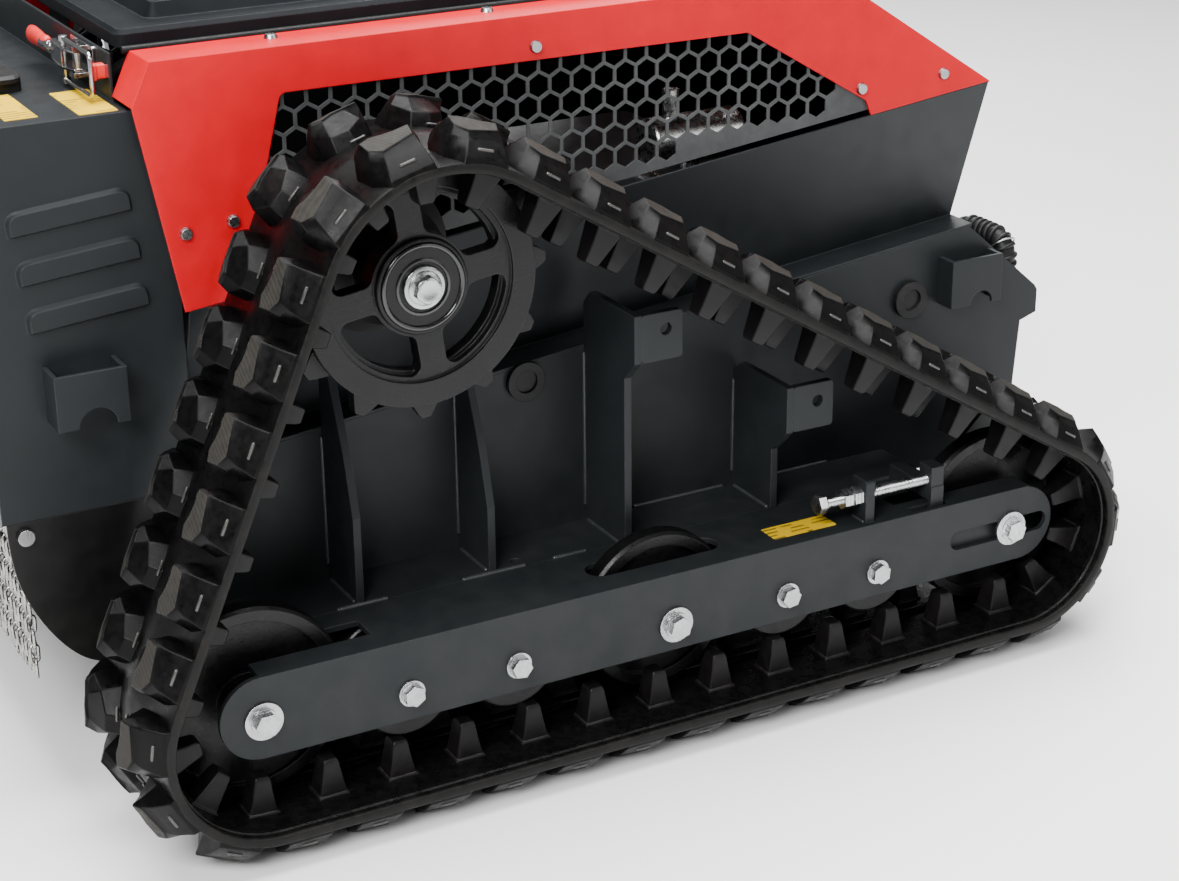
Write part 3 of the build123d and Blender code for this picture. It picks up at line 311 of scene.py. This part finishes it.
MAT["track_rubber"] = rubber("track_rubber", (0.0011, 0.0011, 0.0012), (0.0028, 0.0027, 0.0028), (0.26, 0.44), spec=0.08,
                             worn=0.04)
MAT["track_worn"] = rubber("track_worn", (0.0105, 0.0098, 0.0086), (0.0200, 0.0184, 0.0158), (0.50, 0.72),
                           lines=(230.0, "DIAGONAL", 0.28), spec=0.12, worn=0.3)
# lighter rubber for the small moulded ribs: a painted highlight
MAT["track_rib_highlight"] = rubber("track_rib_highlight", (0.020, 0.019, 0.018), (0.040, 0.038, 0.035), (0.24, 0.36), spec=0.5)
MAT["track_inner"] = rubber("track_inner", (0.0012, 0.0012, 0.0013), (0.0028, 0.0027, 0.0028), (0.20, 0.38), spec=0.20,
                            worn=0.08)
MAT["track_guide"] = rubber("track_guide", (0.0026, 0.0022, 0.0025), (0.0064, 0.0055, 0.0062), (0.30, 0.48), spec=0.15, worn=0.1)
MAT["track_edge"] = rubber("track_edge", (0.0026, 0.0025, 0.0025), (0.0066, 0.0062, 0.0058), (0.38, 0.56), spec=0.12,
                           worn=0.2)


def label_material():
    """Yellow film with plain dark bars, no lettering."""
    t = Tree("yellow_label")
    base = t.mix(t.remap(t.noise(30.0, 4.0, 0.6), 0.38, 0.62, 0.0, 1.0), (0.60, 0.37, 0.003), (0.68, 0.44, 0.006))
    bars = t.remap(t.wave(42.0, "Y", 0.0), 0.66, 0.74, 0.0, 1.0)
    gaps = t.remap(t.noise(55.0, 1.0, 0.5), 0.50, 0.54, 0.0, 1.0)
    bar = t.math("MULTIPLY", t.math("MULTIPLY", bars, gaps), 0.75)
    colour = t.mix(bar, base, (0.03, 0.025, 0.02))
    dirt = t.remap(t.noise(70.0, 5.0, 0.7), 0.55, 0.75, 0.0, 0.35)
    colour = t.mix(dirt, colour, (0.35, 0.24, 0.02))
    t.put("Specular IOR Level", 0.15)
    t.link(colour, t.bsdf.inputs["Base Color"])
    t.link(t.remap(t.noise(200.0, 2.0, 0.5), 0.35, 0.65, 0.28, 0.42), t.bsdf.inputs["Roughness"])
    t.link(t.bump(t.noise(500.0, 2.0, 0.5), 0.15, 0.0003), t.bsdf.inputs["Normal"])
    return t.mat


MAT["yellow_label"] = label_material()


def thread_material():
    """Bright zinc with a fine thread on the slim rod, along X."""
    t = Tree("zinc_thread")
    n = t.noise(45.0, 3.0, 0.6)
    colour = t.mix(t.remap(n, 0.36, 0.64, 0.0, 1.0), (0.55, 0.56, 0.57), (0.80, 0.81, 0.82))
    ridge = t.wave(180.0, "X", 0.0)
    # the thread grooves are painted darker: painted shade in the grooves
    colour = t.mix(t.math("MULTIPLY", t.remap(ridge, 0.0, 0.35, 1.0, 0.0), 0.55), colour, (0.12, 0.12, 0.12))
    t.link(colour, t.bsdf.inputs["Base Color"])
    t.link(t.remap(n, 0.35, 0.65, 0.20, 0.36), t.bsdf.inputs["Roughness"])
    t.link(t.bump(ridge, 0.6, 0.0008), t.bsdf.inputs["Normal"])
    t.put("Metallic", 1.0)
    return t.mat


MAT["zinc_thread"] = thread_material()


# ------------------------------------------------------------------ frames and mesh building
def P(d, w, h, side=1):
    return Vector(((419.0 - d) / 1000.0, side * (450.0 - w) / 1000.0, (140.0 + h) / 1000.0))


class Build:
    """Collects vertices, faces and material numbers, then makes one mesh piece."""

    def __init__(self):
        self.v, self.f, self.m = [], [], []

    def prism(self, bottom, top, side_m=0, top_m=0, bottom_m=0):
        i, n = len(self.v), len(bottom)
        self.v += [tuple(p) for p in bottom] + [tuple(p) for p in top]
        for k in range(n):
            j = (k + 1) % n
            self.f.append((i + k, i + j, i + n + j, i + n + k))
            self.m.append(side_m)
        self.f.append(tuple(range(i + n - 1, i - 1, -1)))
        self.m.append(bottom_m)
        self.f.append(tuple(range(i + n, i + 2 * n)))
        self.m.append(top_m)

    def loft(self, rings, closed=False, mats=None, cap=True, cap_m=0):
        """Rings of equal length, joined in order. mats gives a material per point of the ring."""
        i, n = len(self.v), len(rings[0])
        for r in rings:
            self.v += [tuple(p) for p in r]
        count = len(rings)
        for a in range(count if closed else count - 1):
            b = (a + 1) % count
            for k in range(n):
                j = (k + 1) % n
                self.f.append((i + a * n + k, i + a * n + j, i + b * n + j, i + b * n + k))
                self.m.append(mats[k] if mats else cap_m)
        if cap and not closed:
            self.f.append(tuple(range(i + n - 1, i - 1, -1)))
            self.m.append(cap_m)
            last = i + (count - 1) * n
            self.f.append(tuple(range(last, last + n)))
            self.m.append(cap_m)

    def tube(self, points, radius, sides=10, closed=False, m=0):
        """A round tube along points; radius is a number or one for each point."""
        pts = [Vector(p) for p in points]
        n = len(pts)
        rad = radius if isinstance(radius, (list, tuple)) else [radius] * n
        tangents = []
        for k in range(n):
            if closed:
                tangents.append((pts[(k + 1) % n] - pts[k - 1]).normalized())
            else:
                tangents.append((pts[min(k + 1, n - 1)] - pts[max(k - 1, 0)]).normalized())
        t0 = tangents[0]
        seed = Vector((0, 0, 1)) if abs(t0.z) < 0.9 else Vector((0, 1, 0))
        u = t0.cross(seed).normalized()
        rings = []
        for k in range(n):
            t = tangents[k]
            u = (u - t * u.dot(t)).normalized()
            w = t.cross(u)
            rings.append([pts[k] + (u * math.cos(2 * math.pi * a / sides) + w * math.sin(2 * math.pi * a / sides)) * rad[k]
                          for a in range(sides)])
        self.loft(rings, closed=closed, cap_m=m)

    def make(self, name, mats, body="root", slot=None, sharp=35.0, bevel=None, replaces=(), segments=2):
        mesh = bpy.data.meshes.new(name)
        mesh.from_pydata(self.v, [], self.f)
        for m in mats:
            mesh.materials.append(m)
        mesh.polygons.foreach_set("material_index", self.m)
        bm = bmesh.new()
        bm.from_mesh(mesh)
        bmesh.ops.recalc_face_normals(bm, faces=bm.faces)
        bm.to_mesh(mesh)
        bm.free()
        mesh.polygons.foreach_set("use_smooth", [True] * len(mesh.polygons))
        mesh.set_sharp_from_angle(angle=math.radians(sharp))
        mesh.update()
        obj = bpy.data.objects.new(name, mesh)
        bpy.context.scene.collection.objects.link(obj)
        if bevel:
            b = obj.modifiers.new("bevel", "BEVEL")
            b.width = bevel
            b.segments = segments
            b.limit_method = "ANGLE"
            b.angle_limit = math.radians(28)
            b.use_clamp_overlap = True
        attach(obj, body)
        if replaces:
            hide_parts(*replaces)
        return obj


# ------------------------------------------------------------------ track path, as in the frame
WHEELS = ((0.0, 0.0, 99.0), (864.0, 0.0, 99.0), (190.0, 382.0, 121.5))
PITCH_OFF = 13.2
LINKS = 39


def tangent_angle(a, b):
    dx, dy = b[0] - a[0], b[1] - a[1]
    return math.atan2(dy, dx) - math.acos((a[2] - b[2]) / math.hypot(dx, dy))


ANG = [tangent_angle(WHEELS[i], WHEELS[(i + 1) % 3]) for i in range(3)]
PATH = []
for i in range(3):
    j = (i + 1) % 3
    n_ = (math.cos(ANG[i]), math.sin(ANG[i]))
    q0 = (WHEELS[i][0] + WHEELS[i][2] * n_[0], WHEELS[i][1] + WHEELS[i][2] * n_[1])
    q1 = (WHEELS[j][0] + WHEELS[j][2] * n_[0], WHEELS[j][1] + WHEELS[j][2] * n_[1])
    PATH.append(("line", q0, q1, ANG[i], math.dist(q0, q1)))
    a0, a1 = ANG[i], ANG[j]
    while a1 < a0:
        a1 += 2 * math.pi
    PATH.append(("arc", WHEELS[j], a0, a1, (a1 - a0) * (WHEELS[j][2] + PITCH_OFF)))
PERIMETER = sum(p[4] for p in PATH)
PITCH = PERIMETER / LINKS


def station(s):
    """Point on the belt's inner surface, outward normal and direction of travel, in (d, h)."""
    s = s % PERIMETER
    for p in PATH:
        if s <= p[4]:
            break
        s -= p[4]
    if p[0] == "line":
        t = s / p[4]
        a = p[3]
        base = (p[1][0] + (p[2][0] - p[1][0]) * t, p[1][1] + (p[2][1] - p[1][1]) * t)
    else:
        a = p[2] + (p[3] - p[2]) * s / p[4]
        w = p[1]
        base = (w[0] + w[2] * math.cos(a), w[1] + w[2] * math.sin(a))
    return base, (math.cos(a), math.sin(a)), (-math.sin(a), math.cos(a))


BELT_SECTION = [(-45, 2.6), (-44.3, 0.9), (-42.4, 0), (-36, 0), (-35, -1.2), (-31, -1.2), (-30, 0), (36.6, 0),
                (38, 1.2), (38.6, 13.0), (40, 14), (54, 14), (55.4, 13.0), (56, 1.2), (57.4, 0), (120, 0),
                (121, -1.2), (125, -1.2), (126, 0), (132.4, 0), (134.3, 0.9), (135, 2.6),
                (135, 8.0), (134, 9.7), (131, 10.6), (112, 11.4), (74, 13.5), (60, 18.6), (45, 19.6), (30, 18.6),
                (16, 13.5), (-22, 11.4), (-41, 10.6), (-44, 9.7), (-45, 8.0)]


def section_material(k):
    w, off = BELT_SECTION[k]
    if off < 0.5 or (38 <= w <= 56 and off < 15):
        return 1
    if w <= -44 or w >= 134:
        return 2
    return 0


def near_row(w, row):
    return w if row == 0 else 90.0 - w


# tread block seen from above: (along the track, across) at the foot and on the worn land
FOOT = [(-22, -45), (22, -45), (33, -24), (36, 4), (24, 35), (2, 40), (-20, 18), (-27, -14)]
LAND = [(-19, -16), (13, -22), (24, -15), (26, -3), (15, 1), (4, -4), (-7, -5), (-21, -5)]


def land_height(w):
    """Lower at the belt's edge, full height inboard."""
    return 41.0 - 7.0 * max(0.0, min(1.0, (-4.0 - w) / 16.0))


def make_belt(side, prefix):
    b = Build()
    count = LINKS * 12
    rings = []
    for i in range(count):
        base, n, t = station(i * PERIMETER / count)
        rings.append([P(base[0] + n[0] * off, w, base[1] + n[1] * off, side) for w, off in BELT_SECTION])
    b.loft(rings, closed=True, mats=[section_material(k) for k in range(len(BELT_SECTION))])
    b.make(prefix + "track_carcass", [MAT["track_rubber"], MAT["track_inner"], MAT["track_edge"]], "root",
           "track_rubber", sharp=40.0, replaces=(prefix + "track_belt",))

    lugs, guides = Build(), Build()
    for k in range(LINKS):
        for row in (0, 1):
            s0 = 24.0 + k * PITCH + (0.0 if row == 0 else 5.0)
            base, n, t = station(s0)

            def at(a, w, off):
                p = P(base[0] + t[0] * a + n[0] * off, near_row(w, row), base[1] + t[1] * a + n[1] * off, side)
                p.z = max(p.z, 0.0)
                return p

            foot = [at(a, w, 4.5) for a, w in FOOT]
            waist = [at(a * 0.97, w + (1.5 if w < 0 else -1.5), 12.5) for a, w in FOOT]
            flank = []
            for c, ((fa, fw), (la, lw)) in enumerate(zip(FOOT, LAND)):
                inboard = c >= 3
                q = 0.36 if inboard else 0.62
                flank.append(at(fa + (la - fa) * q, fw + (lw - fw) * q, 27.5 if not inboard else 30.0))
            shoulder = [at(a * 1.05, w * 1.03 + (1.0 if c >= 3 else -1.0), land_height(w) - 2.4)
                        for c, (a, w) in enumerate(LAND)]
            land = [at(a, w, land_height(w)) for a, w in LAND]
            i = len(lugs.v)
            lugs.loft([foot, waist, flank, shoulder, land], cap=True, cap_m=0)
            lugs.m[-1] = 1                                   # the worn land
            # a small moulded rib on the outer face, and one on the inner face, in a lighter rubber that is a painted
            # highlight
            for (w0, o0), (w1, o1) in (((-43.6, 12.5), (-28.6, 27.5)), ((37.4, 12.5), (25.0, 30.0))):
                du, dv = w1 - w0, o1 - o0
                ln = math.hypot(du, dv)
                du, dv = du / ln, dv / ln
                sgn = -1.0 if w0 < 0 else 1.0
                nu, nv = sgn * abs(dv), abs(du)
                cw, co = (w0 + w1) / 2, (o0 + o1) / 2
                half = 8.0
                lower = [at(a, cw + du * q * 1.5 - nu * 1.0, co + dv * q * 1.5 - nv * 1.0)
                         for a, q in ((-half, -1), (half, -1), (half, 1), (-half, 1))]
                upper = [at(a * 0.94, cw + du * q * 1.0 + nu * 2.0, co + dv * q * 1.0 + nv * 2.0)
                         for a, q in ((-half, -1), (half, -1), (half, 1), (-half, 1))]
                lugs.prism(lower, upper, side_m=2, top_m=2)
        # guide lugs
        s0 = -7.0 + k * PITCH
        base, n, t = station(s0)
        for w0, w1 in ((-2.0, 25.0), (69.0, 96.0)):
            def gp(a, w, off):
                return P(base[0] + t[0] * a + n[0] * off, w, base[1] + t[1] * a + n[1] * off, side)

            pad = 2.2
            guides.prism([gp(a, w, 3.0) for a, w in ((-16.5, w0 - pad), (16.5, w0 - pad), (16.5, w1 + pad), (-16.5, w1 + pad))],
                         [gp(a, w, -2.2) for a, w in ((-15.8, w0 - pad + .8), (15.8, w0 - pad + .8), (15.8, w1 + pad - .8), (-15.8, w1 + pad - .8))])
            rings = []
            for off, half, inset in ((2.0, 14.6, 0.0), (-2.2, 14.0, 0.4), (-10.0, 12.2, 1.0), (-24.0, 9.6, 2.4),
                                     (-34.0, 8.0, 3.6), (-37.6, 6.6, 5.0)):
                rings.append([gp(a, w, off) for a, w in ((-half, w0 + inset), (half, w0 + inset), (half, w1 - inset), (-half, w1 - inset))])
            guides.loft(rings, cap=True)
    lugs.make(prefix + "tread_blocks", [MAT["track_rubber"], MAT["track_worn"], MAT["track_rib_highlight"]], "root", "track_rubber", sharp=30.0,
              bevel=0.0013)
    guides.make(prefix + "guide_lugs", [MAT["track_guide"]], "root", "track_rubber", sharp=30.0, bevel=0.0012)


make_belt(1, "left_")
make_belt(-1, "right_")


# ------------------------------------------------------------------ chain curtain: linked chains on rings
def link_shape(radius=4.3, straight=9.6, wire=1.65, around=14, sides=7):
    """One oval link in its own plane: points (x, y, z) in mm, long axis y."""
    path = []
    half = straight / 2
    for k in range(around):
        a = 2 * math.pi * k / around
        x, y = radius * math.cos(a), radius * math.sin(a)
        path.append(Vector((x, y + (half if y >= -1e-9 and math.sin(a) >= 0 else -half), 0)))
    n = len(path)
    rings = []
    for k in range(n):
        t = (path[(k + 1) % n] - path[k - 1]).normalized()
        u = Vector((0, 0, 1))
        w = t.cross(u)
        rings.append([path[k] + (u * math.cos(2 * math.pi * a / sides) + w * math.sin(2 * math.pi * a / sides)) * wire
                      for a in range(sides)])
    return rings


def make_curtain():
    b = Build()
    base_w, pitch_w = 178.5, (2 * (450.0 - 173.0) - 11.0) / 39
    shape = link_shape()
    for k in range(40):
        w = base_w + k * pitch_w
        # ring round the rail
        b.tube([P(-160.0 + 6.5 * math.cos(a), w, 158.0 + 6.5 * math.sin(a)) for a in
                [2 * math.pi * q / 16 for q in range(16)]], 0.0013, sides=7, closed=True)
        top, step = 143.4, 15.75
        for q in range(9):
            h = top - q * step - 3.0
            twist = math.radians(90.0 * (q % 2) + 14.0 * math.sin(1.7 * q + 2.3 * k))
            lean = 0.7 * math.sin(1.1 * k + 0.9 * q)
            ca, sa = math.cos(twist), math.sin(twist)
            rings = []
            for ring in shape:
                rings.append([P(-160.0 + v.x * sa + v.z * ca + lean, w + v.x * ca - v.z * sa, h + v.y) for v in ring])
            b.loft(rings, closed=True)
    b.make("curtain_chains", [MAT["chain_steel"]], "curtain_body", "chain_steel", sharp=60.0, replaces=("chain_curtain",))


make_curtain()


# ------------------------------------------------------------------ toggle latch: lever and wire bail
def rounded_rect(cx, cy, hx, hy, r, n=3):
    pts = []
    for sx, sy, a0 in ((1, 1, 0), (-1, 1, 90), (-1, -1, 180), (1, -1, 270)):
        for k in range(n + 1):
            a = math.radians(a0 + 90.0 * k / n)
            pts.append((cx + sx * (hx - r) + r * math.cos(a), cy + sy * (hy - r) + r * math.sin(a)))
    return pts


def make_latch():
    lever = Build()
    outline = [(-36.5, 257.5), (-45.5, 257.5), (-51.5, 276.0), (-51.5, 292.0), (-48.0, 322.0), (-41.0, 322.0), (-37.0, 300.0)]
    for h0, h1 in ((561.2, 563.6), (578.4, 580.8)):
        lever.prism([P(d, w, h0) for d, w in outline], [P(d, w, h1) for d, w in outline])
    web = [(-51.5, 277.5), (-49.6, 277.5), (-46.4, 321.5), (-48.2, 321.5)]
    lever.prism([P(d, w, 563.0) for d, w in web], [P(d, w, 579.0) for d, w in web])
    lever.tube([P(-41.0, 262.0, h) for h in (556.6, 560.0, 564.0, 571.0, 578.0, 582.0, 585.4)], 0.0030, sides=16)
    lever.tube([P(-44.5 - 0.2 * k, 300.0 + k * 5.0, 571.0) for k in range(12)], 0.0046, sides=16)
    for w in (322.0, 330.0):
        ring = []
        for k in range(6):
            a = math.radians(60 * k)
            ring.append((-44.8 + 6.6 * math.cos(a), 571.0 + 6.6 * math.sin(a)))
        lever.prism([P(d, w, h) for d, h in ring], [P(d, w + 5.0, h) for d, h in ring])
    lever.make("latch_lever_arm", [MAT["chrome_latch"]], "latch_lever_body", "chrome_latch", sharp=30.0, bevel=0.0004,
               replaces=("latch_lever",))
    grip = Build()
    rings = []
    for w, rd, rh in ((341.0, 4.0, 5.0), (342.5, 5.6, 7.0), (350.0, 6.0, 7.6), (352.0, 5.4, 6.8), (360.0, 5.6, 7.2),
                      (375.0, 6.2, 8.4), (388.0, 6.6, 9.2), (394.5, 6.2, 8.8), (397.6, 4.2, 6.0)):
        rings.append([P(-44.4 + rd * math.cos(2 * math.pi * k / 20), w, 571.0 + rh * math.sin(2 * math.pi * k / 20))
                      for k in range(20)])
    grip.loft(rings)
    grip.make("latch_grip", [MAT["red_grip"]], "latch_lever_body", "red_paint", sharp=50.0)

    bail = Build()
    loop = []
    r = 5.0
    for cw, ch, a0 in ((207.4, 583.6, 90), (207.4, 554.4, 180)):
        for k in range(6):
            a = math.radians(a0 + 90.0 * k / 5)
            loop.append((cw + r * math.cos(a), ch + r * math.sin(a)))
    start = [(283.0, 588.6), (262.0, 588.6), (240.0, 588.6), (222.0, 588.6)]
    end = [(222.0, 549.4), (240.0, 549.4), (262.0, 549.4), (283.0, 549.4)]
    bail.tube([P(-47.0 + 0.0, w, h) for w, h in start + loop + end], 0.0023, sides=12)
    for q in (0, 1):
        h = (588.6, 549.4)[q]
        bail.tube([P(-47.0, 282.0, h + o) for o in (-2.6, -1.0, 1.0, 2.6)], 0.0042, sides=14)
    bail.tube([P(-47.0, 282.0, h) for h in (550.0, 560.0, 571.0, 580.0, 588.0)], 0.0024, sides=12)
    bail.make("latch_wire_bail", [MAT["chrome_latch"]], "latch_bail_body", "chrome_latch", sharp=50.0,
              replaces=("latch_bail",))

    hook = Build()
    prof = rounded_rect(212.0, 571.0, 5.2, 6.8, 2.0)
    lip = rounded_rect(210.8, 571.0, 6.0, 7.6, 2.0)
    hook.loft([[P(-32.5, w, h) for w, h in prof], [P(-40.0, w, h) for w, h in prof], [P(-41.2, w, h) for w, h in lip],
               [P(-44.2, w, h) for w, h in lip], [P(-45.2, w, h) for w, h in rounded_rect(210.8, 571.0, 5.0, 6.6, 2.0)]])
    hook.make("latch_hook_cap", [MAT["red_grip"]], "root", "red_paint", sharp=35.0, bevel=0.0004)


make_latch()


# ------------------------------------------------------------------ rear hose, wrapped in a spiral guard with a tie
def make_loom():
    pts = []
    r = 20.0
    pts += [(262.0, 206.0 + k * 6.0) for k in range(6)]
    for k in range(1, 9):
        a = math.radians(90.0 * k / 8)
        pts.append((242.0 + r * math.cos(a), 237.0 + r * math.sin(a)))
    pts += [(242.0 - k * 6.3, 257.0) for k in range(1, 6)]
    for k in range(0, 9):
        a = math.radians(90.0 + 90.0 * k / 8)
        pts.append((204.0 + r * math.cos(a), 237.0 + r * math.sin(a)))
    pts += [(184.0, 237.0 - k * 6.0) for k in range(1, 6)]
    line = [P(984.0, w, h) for w, h in pts]
    dense = []
    for a, b in zip(line[:-1], line[1:]):
        for k in range(4):
            dense.append(a.lerp(b, k / 4))
    dense.append(line[-1])
    for _ in range(3):
        dense = [dense[0]] + [(dense[k - 1] + dense[k] * 2 + dense[k + 1]) / 4 for k in range(1, len(dense) - 1)] + [dense[-1]]
    core = Build()
    core.tube(dense, [0.0118 + 0.0003 * math.sin(k * 0.9) for k in range(len(dense))], sides=18)
    core.make("rear_hose_core", [MAT["black_rubber"]], "root", "black_rubber", sharp=60.0, replaces=("rear_loom",))
    # spiral guard: a flat strip wound round the hose
    wrap = Build()
    length = [0.0]
    for a, b in zip(dense[:-1], dense[1:]):
        length.append(length[-1] + (b - a).length)
    total = length[-1]
    step, turns = 0.0006, total / 0.0088

    def point(s):
        s = min(max(s, 0.0), total - 1e-9)
        k = 0
        lo, hi = 0, len(length) - 1
        while hi - lo > 1:
            mid = (lo + hi) // 2
            if length[mid] <= s:
                lo = mid
            else:
                hi = mid
        t = (s - length[lo]) / (length[hi] - length[lo])
        return dense[lo].lerp(dense[hi], t), (dense[hi] - dense[lo]).normalized()

    helix = []
    count = int(turns * 18)
    for k in range(count + 1):
        s = total * k / count
        p, t = point(s)
        side = Vector((1, 0, 0))
        up = t.cross(side).normalized()
        a = 2 * math.pi * turns * k / count
        helix.append(p + (side * math.cos(a) + up * math.sin(a)) * 0.0122)
    wrap.tube(helix, 0.0024, sides=8)
    wrap.make("rear_hose_guard", [MAT["black_plastic"]], "root", "black_plastic", sharp=70.0)
    # tie straps round the guard at two places along it
    tie = Build()
    for f in (0.30, 0.72):
        p, t = point(total * f)
        side = Vector((1, 0, 0))
        up = t.cross(side).normalized()
        ring = []
        for k in range(24):
            a = 2 * math.pi * k / 24
            ring.append(p + (side * math.cos(a) + up * math.sin(a)) * 0.0146)
        tie.tube(ring, 0.0011, sides=8, closed=True)
    tie.make("rear_hose_ties", [MAT["zinc_fastener"]], "root", "zinc_fastener", sharp=60.0)


make_loom()


# ------------------------------------------------------------------ bolt and washer on the sprocket hub
def turned(b, d, h, profile, side, sides=48, m=0):
    rings = []
    for w, r in profile:
        rings.append([P(d + r * math.cos(2 * math.pi * k / sides), w, h + r * math.sin(2 * math.pi * k / sides), side)
                      for k in range(sides)])
    b.loft(rings, cap=True, cap_m=m)


def make_hubs():
    for side, prefix in ((1, "left_"), (-1, "right_")):
        b = Build()
        turned(b, 190.0, 382.0, [(26.0, 20.2), (23.4, 20.6), (22.4, 20.0), (22.0, 18.6), (22.0, 16.0)], side)
        turned(b, 190.0, 382.0, [(22.1, 16.6), (20.8, 16.4), (19.6, 14.6), (19.2, 13.4)], side)
        rings = []
        for w, r in ((20.4, 13.7), (13.4, 13.7), (12.2, 13.0), (11.4, 11.6), (11.2, 10.0), (12.0, 7.0), (12.4, 3.0)):
            ring = []
            for k in range(24):
                a = 2 * math.pi * k / 24
                flat = 12.0 / math.cos((a % (math.pi / 3)) - math.pi / 6)
                rr = min(r, flat)
                ring.append(P(190.0 + rr * math.cos(a + 0.35), w, 382.0 + rr * math.sin(a + 0.35), side))
            rings.append(ring)
        b.loft(rings, cap=True)
        b.make(prefix + "hub_bolt_head", [MAT["zinc_fastener"]], prefix + "sprocket", "zinc_fastener", sharp=32.0,
               replaces=(prefix + "hub_bolt",))
        r = Build()
        turned(r, 190.0, 382.0, [(26.4, 42.4), (24.6, 41.8), (23.6, 40.2), (23.6, 38.6), (24.6, 37.2), (26.4, 36.6)], side, 64)
        turned(r, 190.0, 382.0, [(26.4, 27.4), (25.0, 27.0), (24.4, 25.8), (24.6, 24.4), (26.4, 23.6)], side, 64)
        r.make(prefix + "hub_rings", [MAT["gloss_black"]], prefix + "sprocket", "cast_black", sharp=40.0)


make_hubs()


# ------------------------------------------------------------------ soft seal under the lid
def make_seal():
    b = Build()
    for side in (1, -1):
        path = [P(d, 206.4, 588.2, side) for d in range(-16, 697, 24)]
        b.tube([p + Vector((0, side * 0.0002 * math.sin(0.8 * k), 0)) for k, p in enumerate(path)], 0.0040, sides=12)
    b.make("lid_seal", [MAT["black_rubber"]], "root", "black_rubber", sharp=60.0)


make_seal()


# ------------------------------------------------------------------ weld beads
def bead(b, p0, p1, radius=2.6, pitch=3.2, seed=0):
    """A rippled bead between two points, half sunk in the joint."""
    p0, p1 = Vector(p0), Vector(p1)
    length = (p1 - p0).length * 1000.0
    n = max(8, int(length / 0.8))
    rnd = random.Random(seed)
    drift = [rnd.uniform(-0.25, 0.25) for _ in range(n + 1)]
    radii, pts = [], []
    for k in range(n + 1):
        s = length * k / n
        taper = min(1.0, k / 3.0 + 0.35, (n - k) / 3.0 + 0.35)
        radii.append((radius * (0.84 + 0.16 * abs(math.sin(math.pi * s / pitch))) + drift[k] * 0.35) * taper / 1000.0)
        pts.append(p0.lerp(p1, k / n) + Vector((0, 0, drift[k] * 0.0003)))
    b.tube(pts, radii, sides=10)


def make_welds():
    for side, prefix in ((1, "left_"), (-1, "right_")):
        b = Build()
        seed = 11 if side == 1 else 53
        for d0, d1 in ((115.0, 170.0), (250.0, 322.0), (352.0, 392.0), (742.0, 790.0)):
            seed += 1
            bead(b, P(d0, 92.6, 45.0, side), P(d1, 92.6, 45.0, side), 2.7, seed=seed)
        for d, foot, top in ((142.0, 100.0, 205.0), (286.0, 100.0, 222.0), (434.0, 85.0, 238.0), (615.0, 92.0, 174.0)):
            for dd in (-4.6, 4.6):
                seed += 1
                bead(b, P(d + dd, foot, 45.2, side), P(d + dd, 160.0, 45.2, side), 2.3, seed=seed)
                seed += 1
                bead(b, P(d + dd, 164.2, 60.0, side), P(d + dd, 164.2, top - 6.0, side), 2.2, seed=seed)
        for d0, h0, h1 in ((438.0, 250.0, 300.0), (619.0, 140.0, 190.0)):
            for w in (68.4,):
                seed += 1
                bead(b, P(d0 + 0.4, w, h0 + 6.0, side), P(d0 + 0.4, w, h1 - 6.0, side), 1.8, seed=seed)
        for d0, d1 in ((486.0, 600.0), (630.0, 735.0)):
            seed += 1
            bead(b, P(d0, 164.2, 45.4, side), P(d1, 164.2, 45.4, side), 2.2, seed=seed)
        # tension post foot
        for dd in (676.6, 688.4):
            seed += 1
            bead(b, P(dd, 9.0, 44.8, side), P(dd, 31.0, 44.8, side), 1.7, seed=seed)
        b.make(prefix + "weld_beads", [MAT["weld"]], "root", "charcoal_paint", sharp=70.0)


make_welds()


# ------------------------------------------------------------------ finishes on the frame's own pieces
SLOT_OF = {s["node"]: s["material_slot"] for s in RECORD["subparts"]}
for name, obj in NODES.items():
    material = MAT[SLOT_OF[name]]
    if name.endswith("tensioner_bolts"):
        material = MAT["zinc_thread"]
    if obj.data.materials:
        for slot_ in obj.material_slots:
            slot_.material = material
    else:
        obj.data.materials.append(material)


# ------------------------------------------------------------------ floor and light
def make_stage():
    mesh = bpy.data.meshes.new("floor")
    s = 14.0
    mesh.from_pydata([(-s, -s, -0.0006), (s, -s, -0.0006), (s, s, -0.0006), (-s, s, -0.0006)], [], [(0, 1, 2, 3)])
    t = Tree("floor")
    n = t.noise(1.5, 3.0, 0.5)
    t.link(t.mix(t.remap(n, 0.3, 0.7, 0.0, 1.0), (0.86, 0.86, 0.86), (0.90, 0.90, 0.90)), t.bsdf.inputs["Base Color"])
    t.put("Roughness", 0.7)
    t.put("Specular IOR Level", 0.2)
    mesh.materials.append(t.mat)
    floor = bpy.data.objects.new("floor", mesh)
    bpy.context.scene.collection.objects.link(floor)

    world = bpy.data.worlds.new("world")
    world.use_nodes = True
    bg = world.node_tree.nodes["Background"]
    bg.inputs["Color"].default_value = (1.0, 1.0, 1.0, 1.0)
    bg.inputs["Strength"].default_value = 0.28
    bpy.context.scene.world = world

    def area(name, location, target, size, power, colour=(1, 1, 1)):
        data = bpy.data.lights.new(name, "AREA")
        data.shape = "RECTANGLE"
        data.size, data.size_y = size
        data.energy = power
        data.color = colour
        obj = bpy.data.objects.new(name, data)
        obj.location = location
        obj.rotation_euler = (Vector(target) - Vector(location)).to_track_quat("-Z", "Y").to_euler()
        bpy.context.scene.collection.objects.link(obj)

    area("key", (2.3, 2.4, 2.7), (0.0, 0.2, 0.3), (1.8, 1.4), 240.0)
    area("fill", (-2.2, 3.0, 1.6), (-0.1, 0.2, 0.25), (2.4, 1.6), 36.0)
    area("top", (0.0, 0.0, 3.4), (0.0, 0.0, 0.0), (3.0, 3.0), 430.0)
    area("back", (-2.0, -2.6, 2.4), (0.0, 0.0, 0.4), (2.0, 1.4), 60.0)


make_stage()
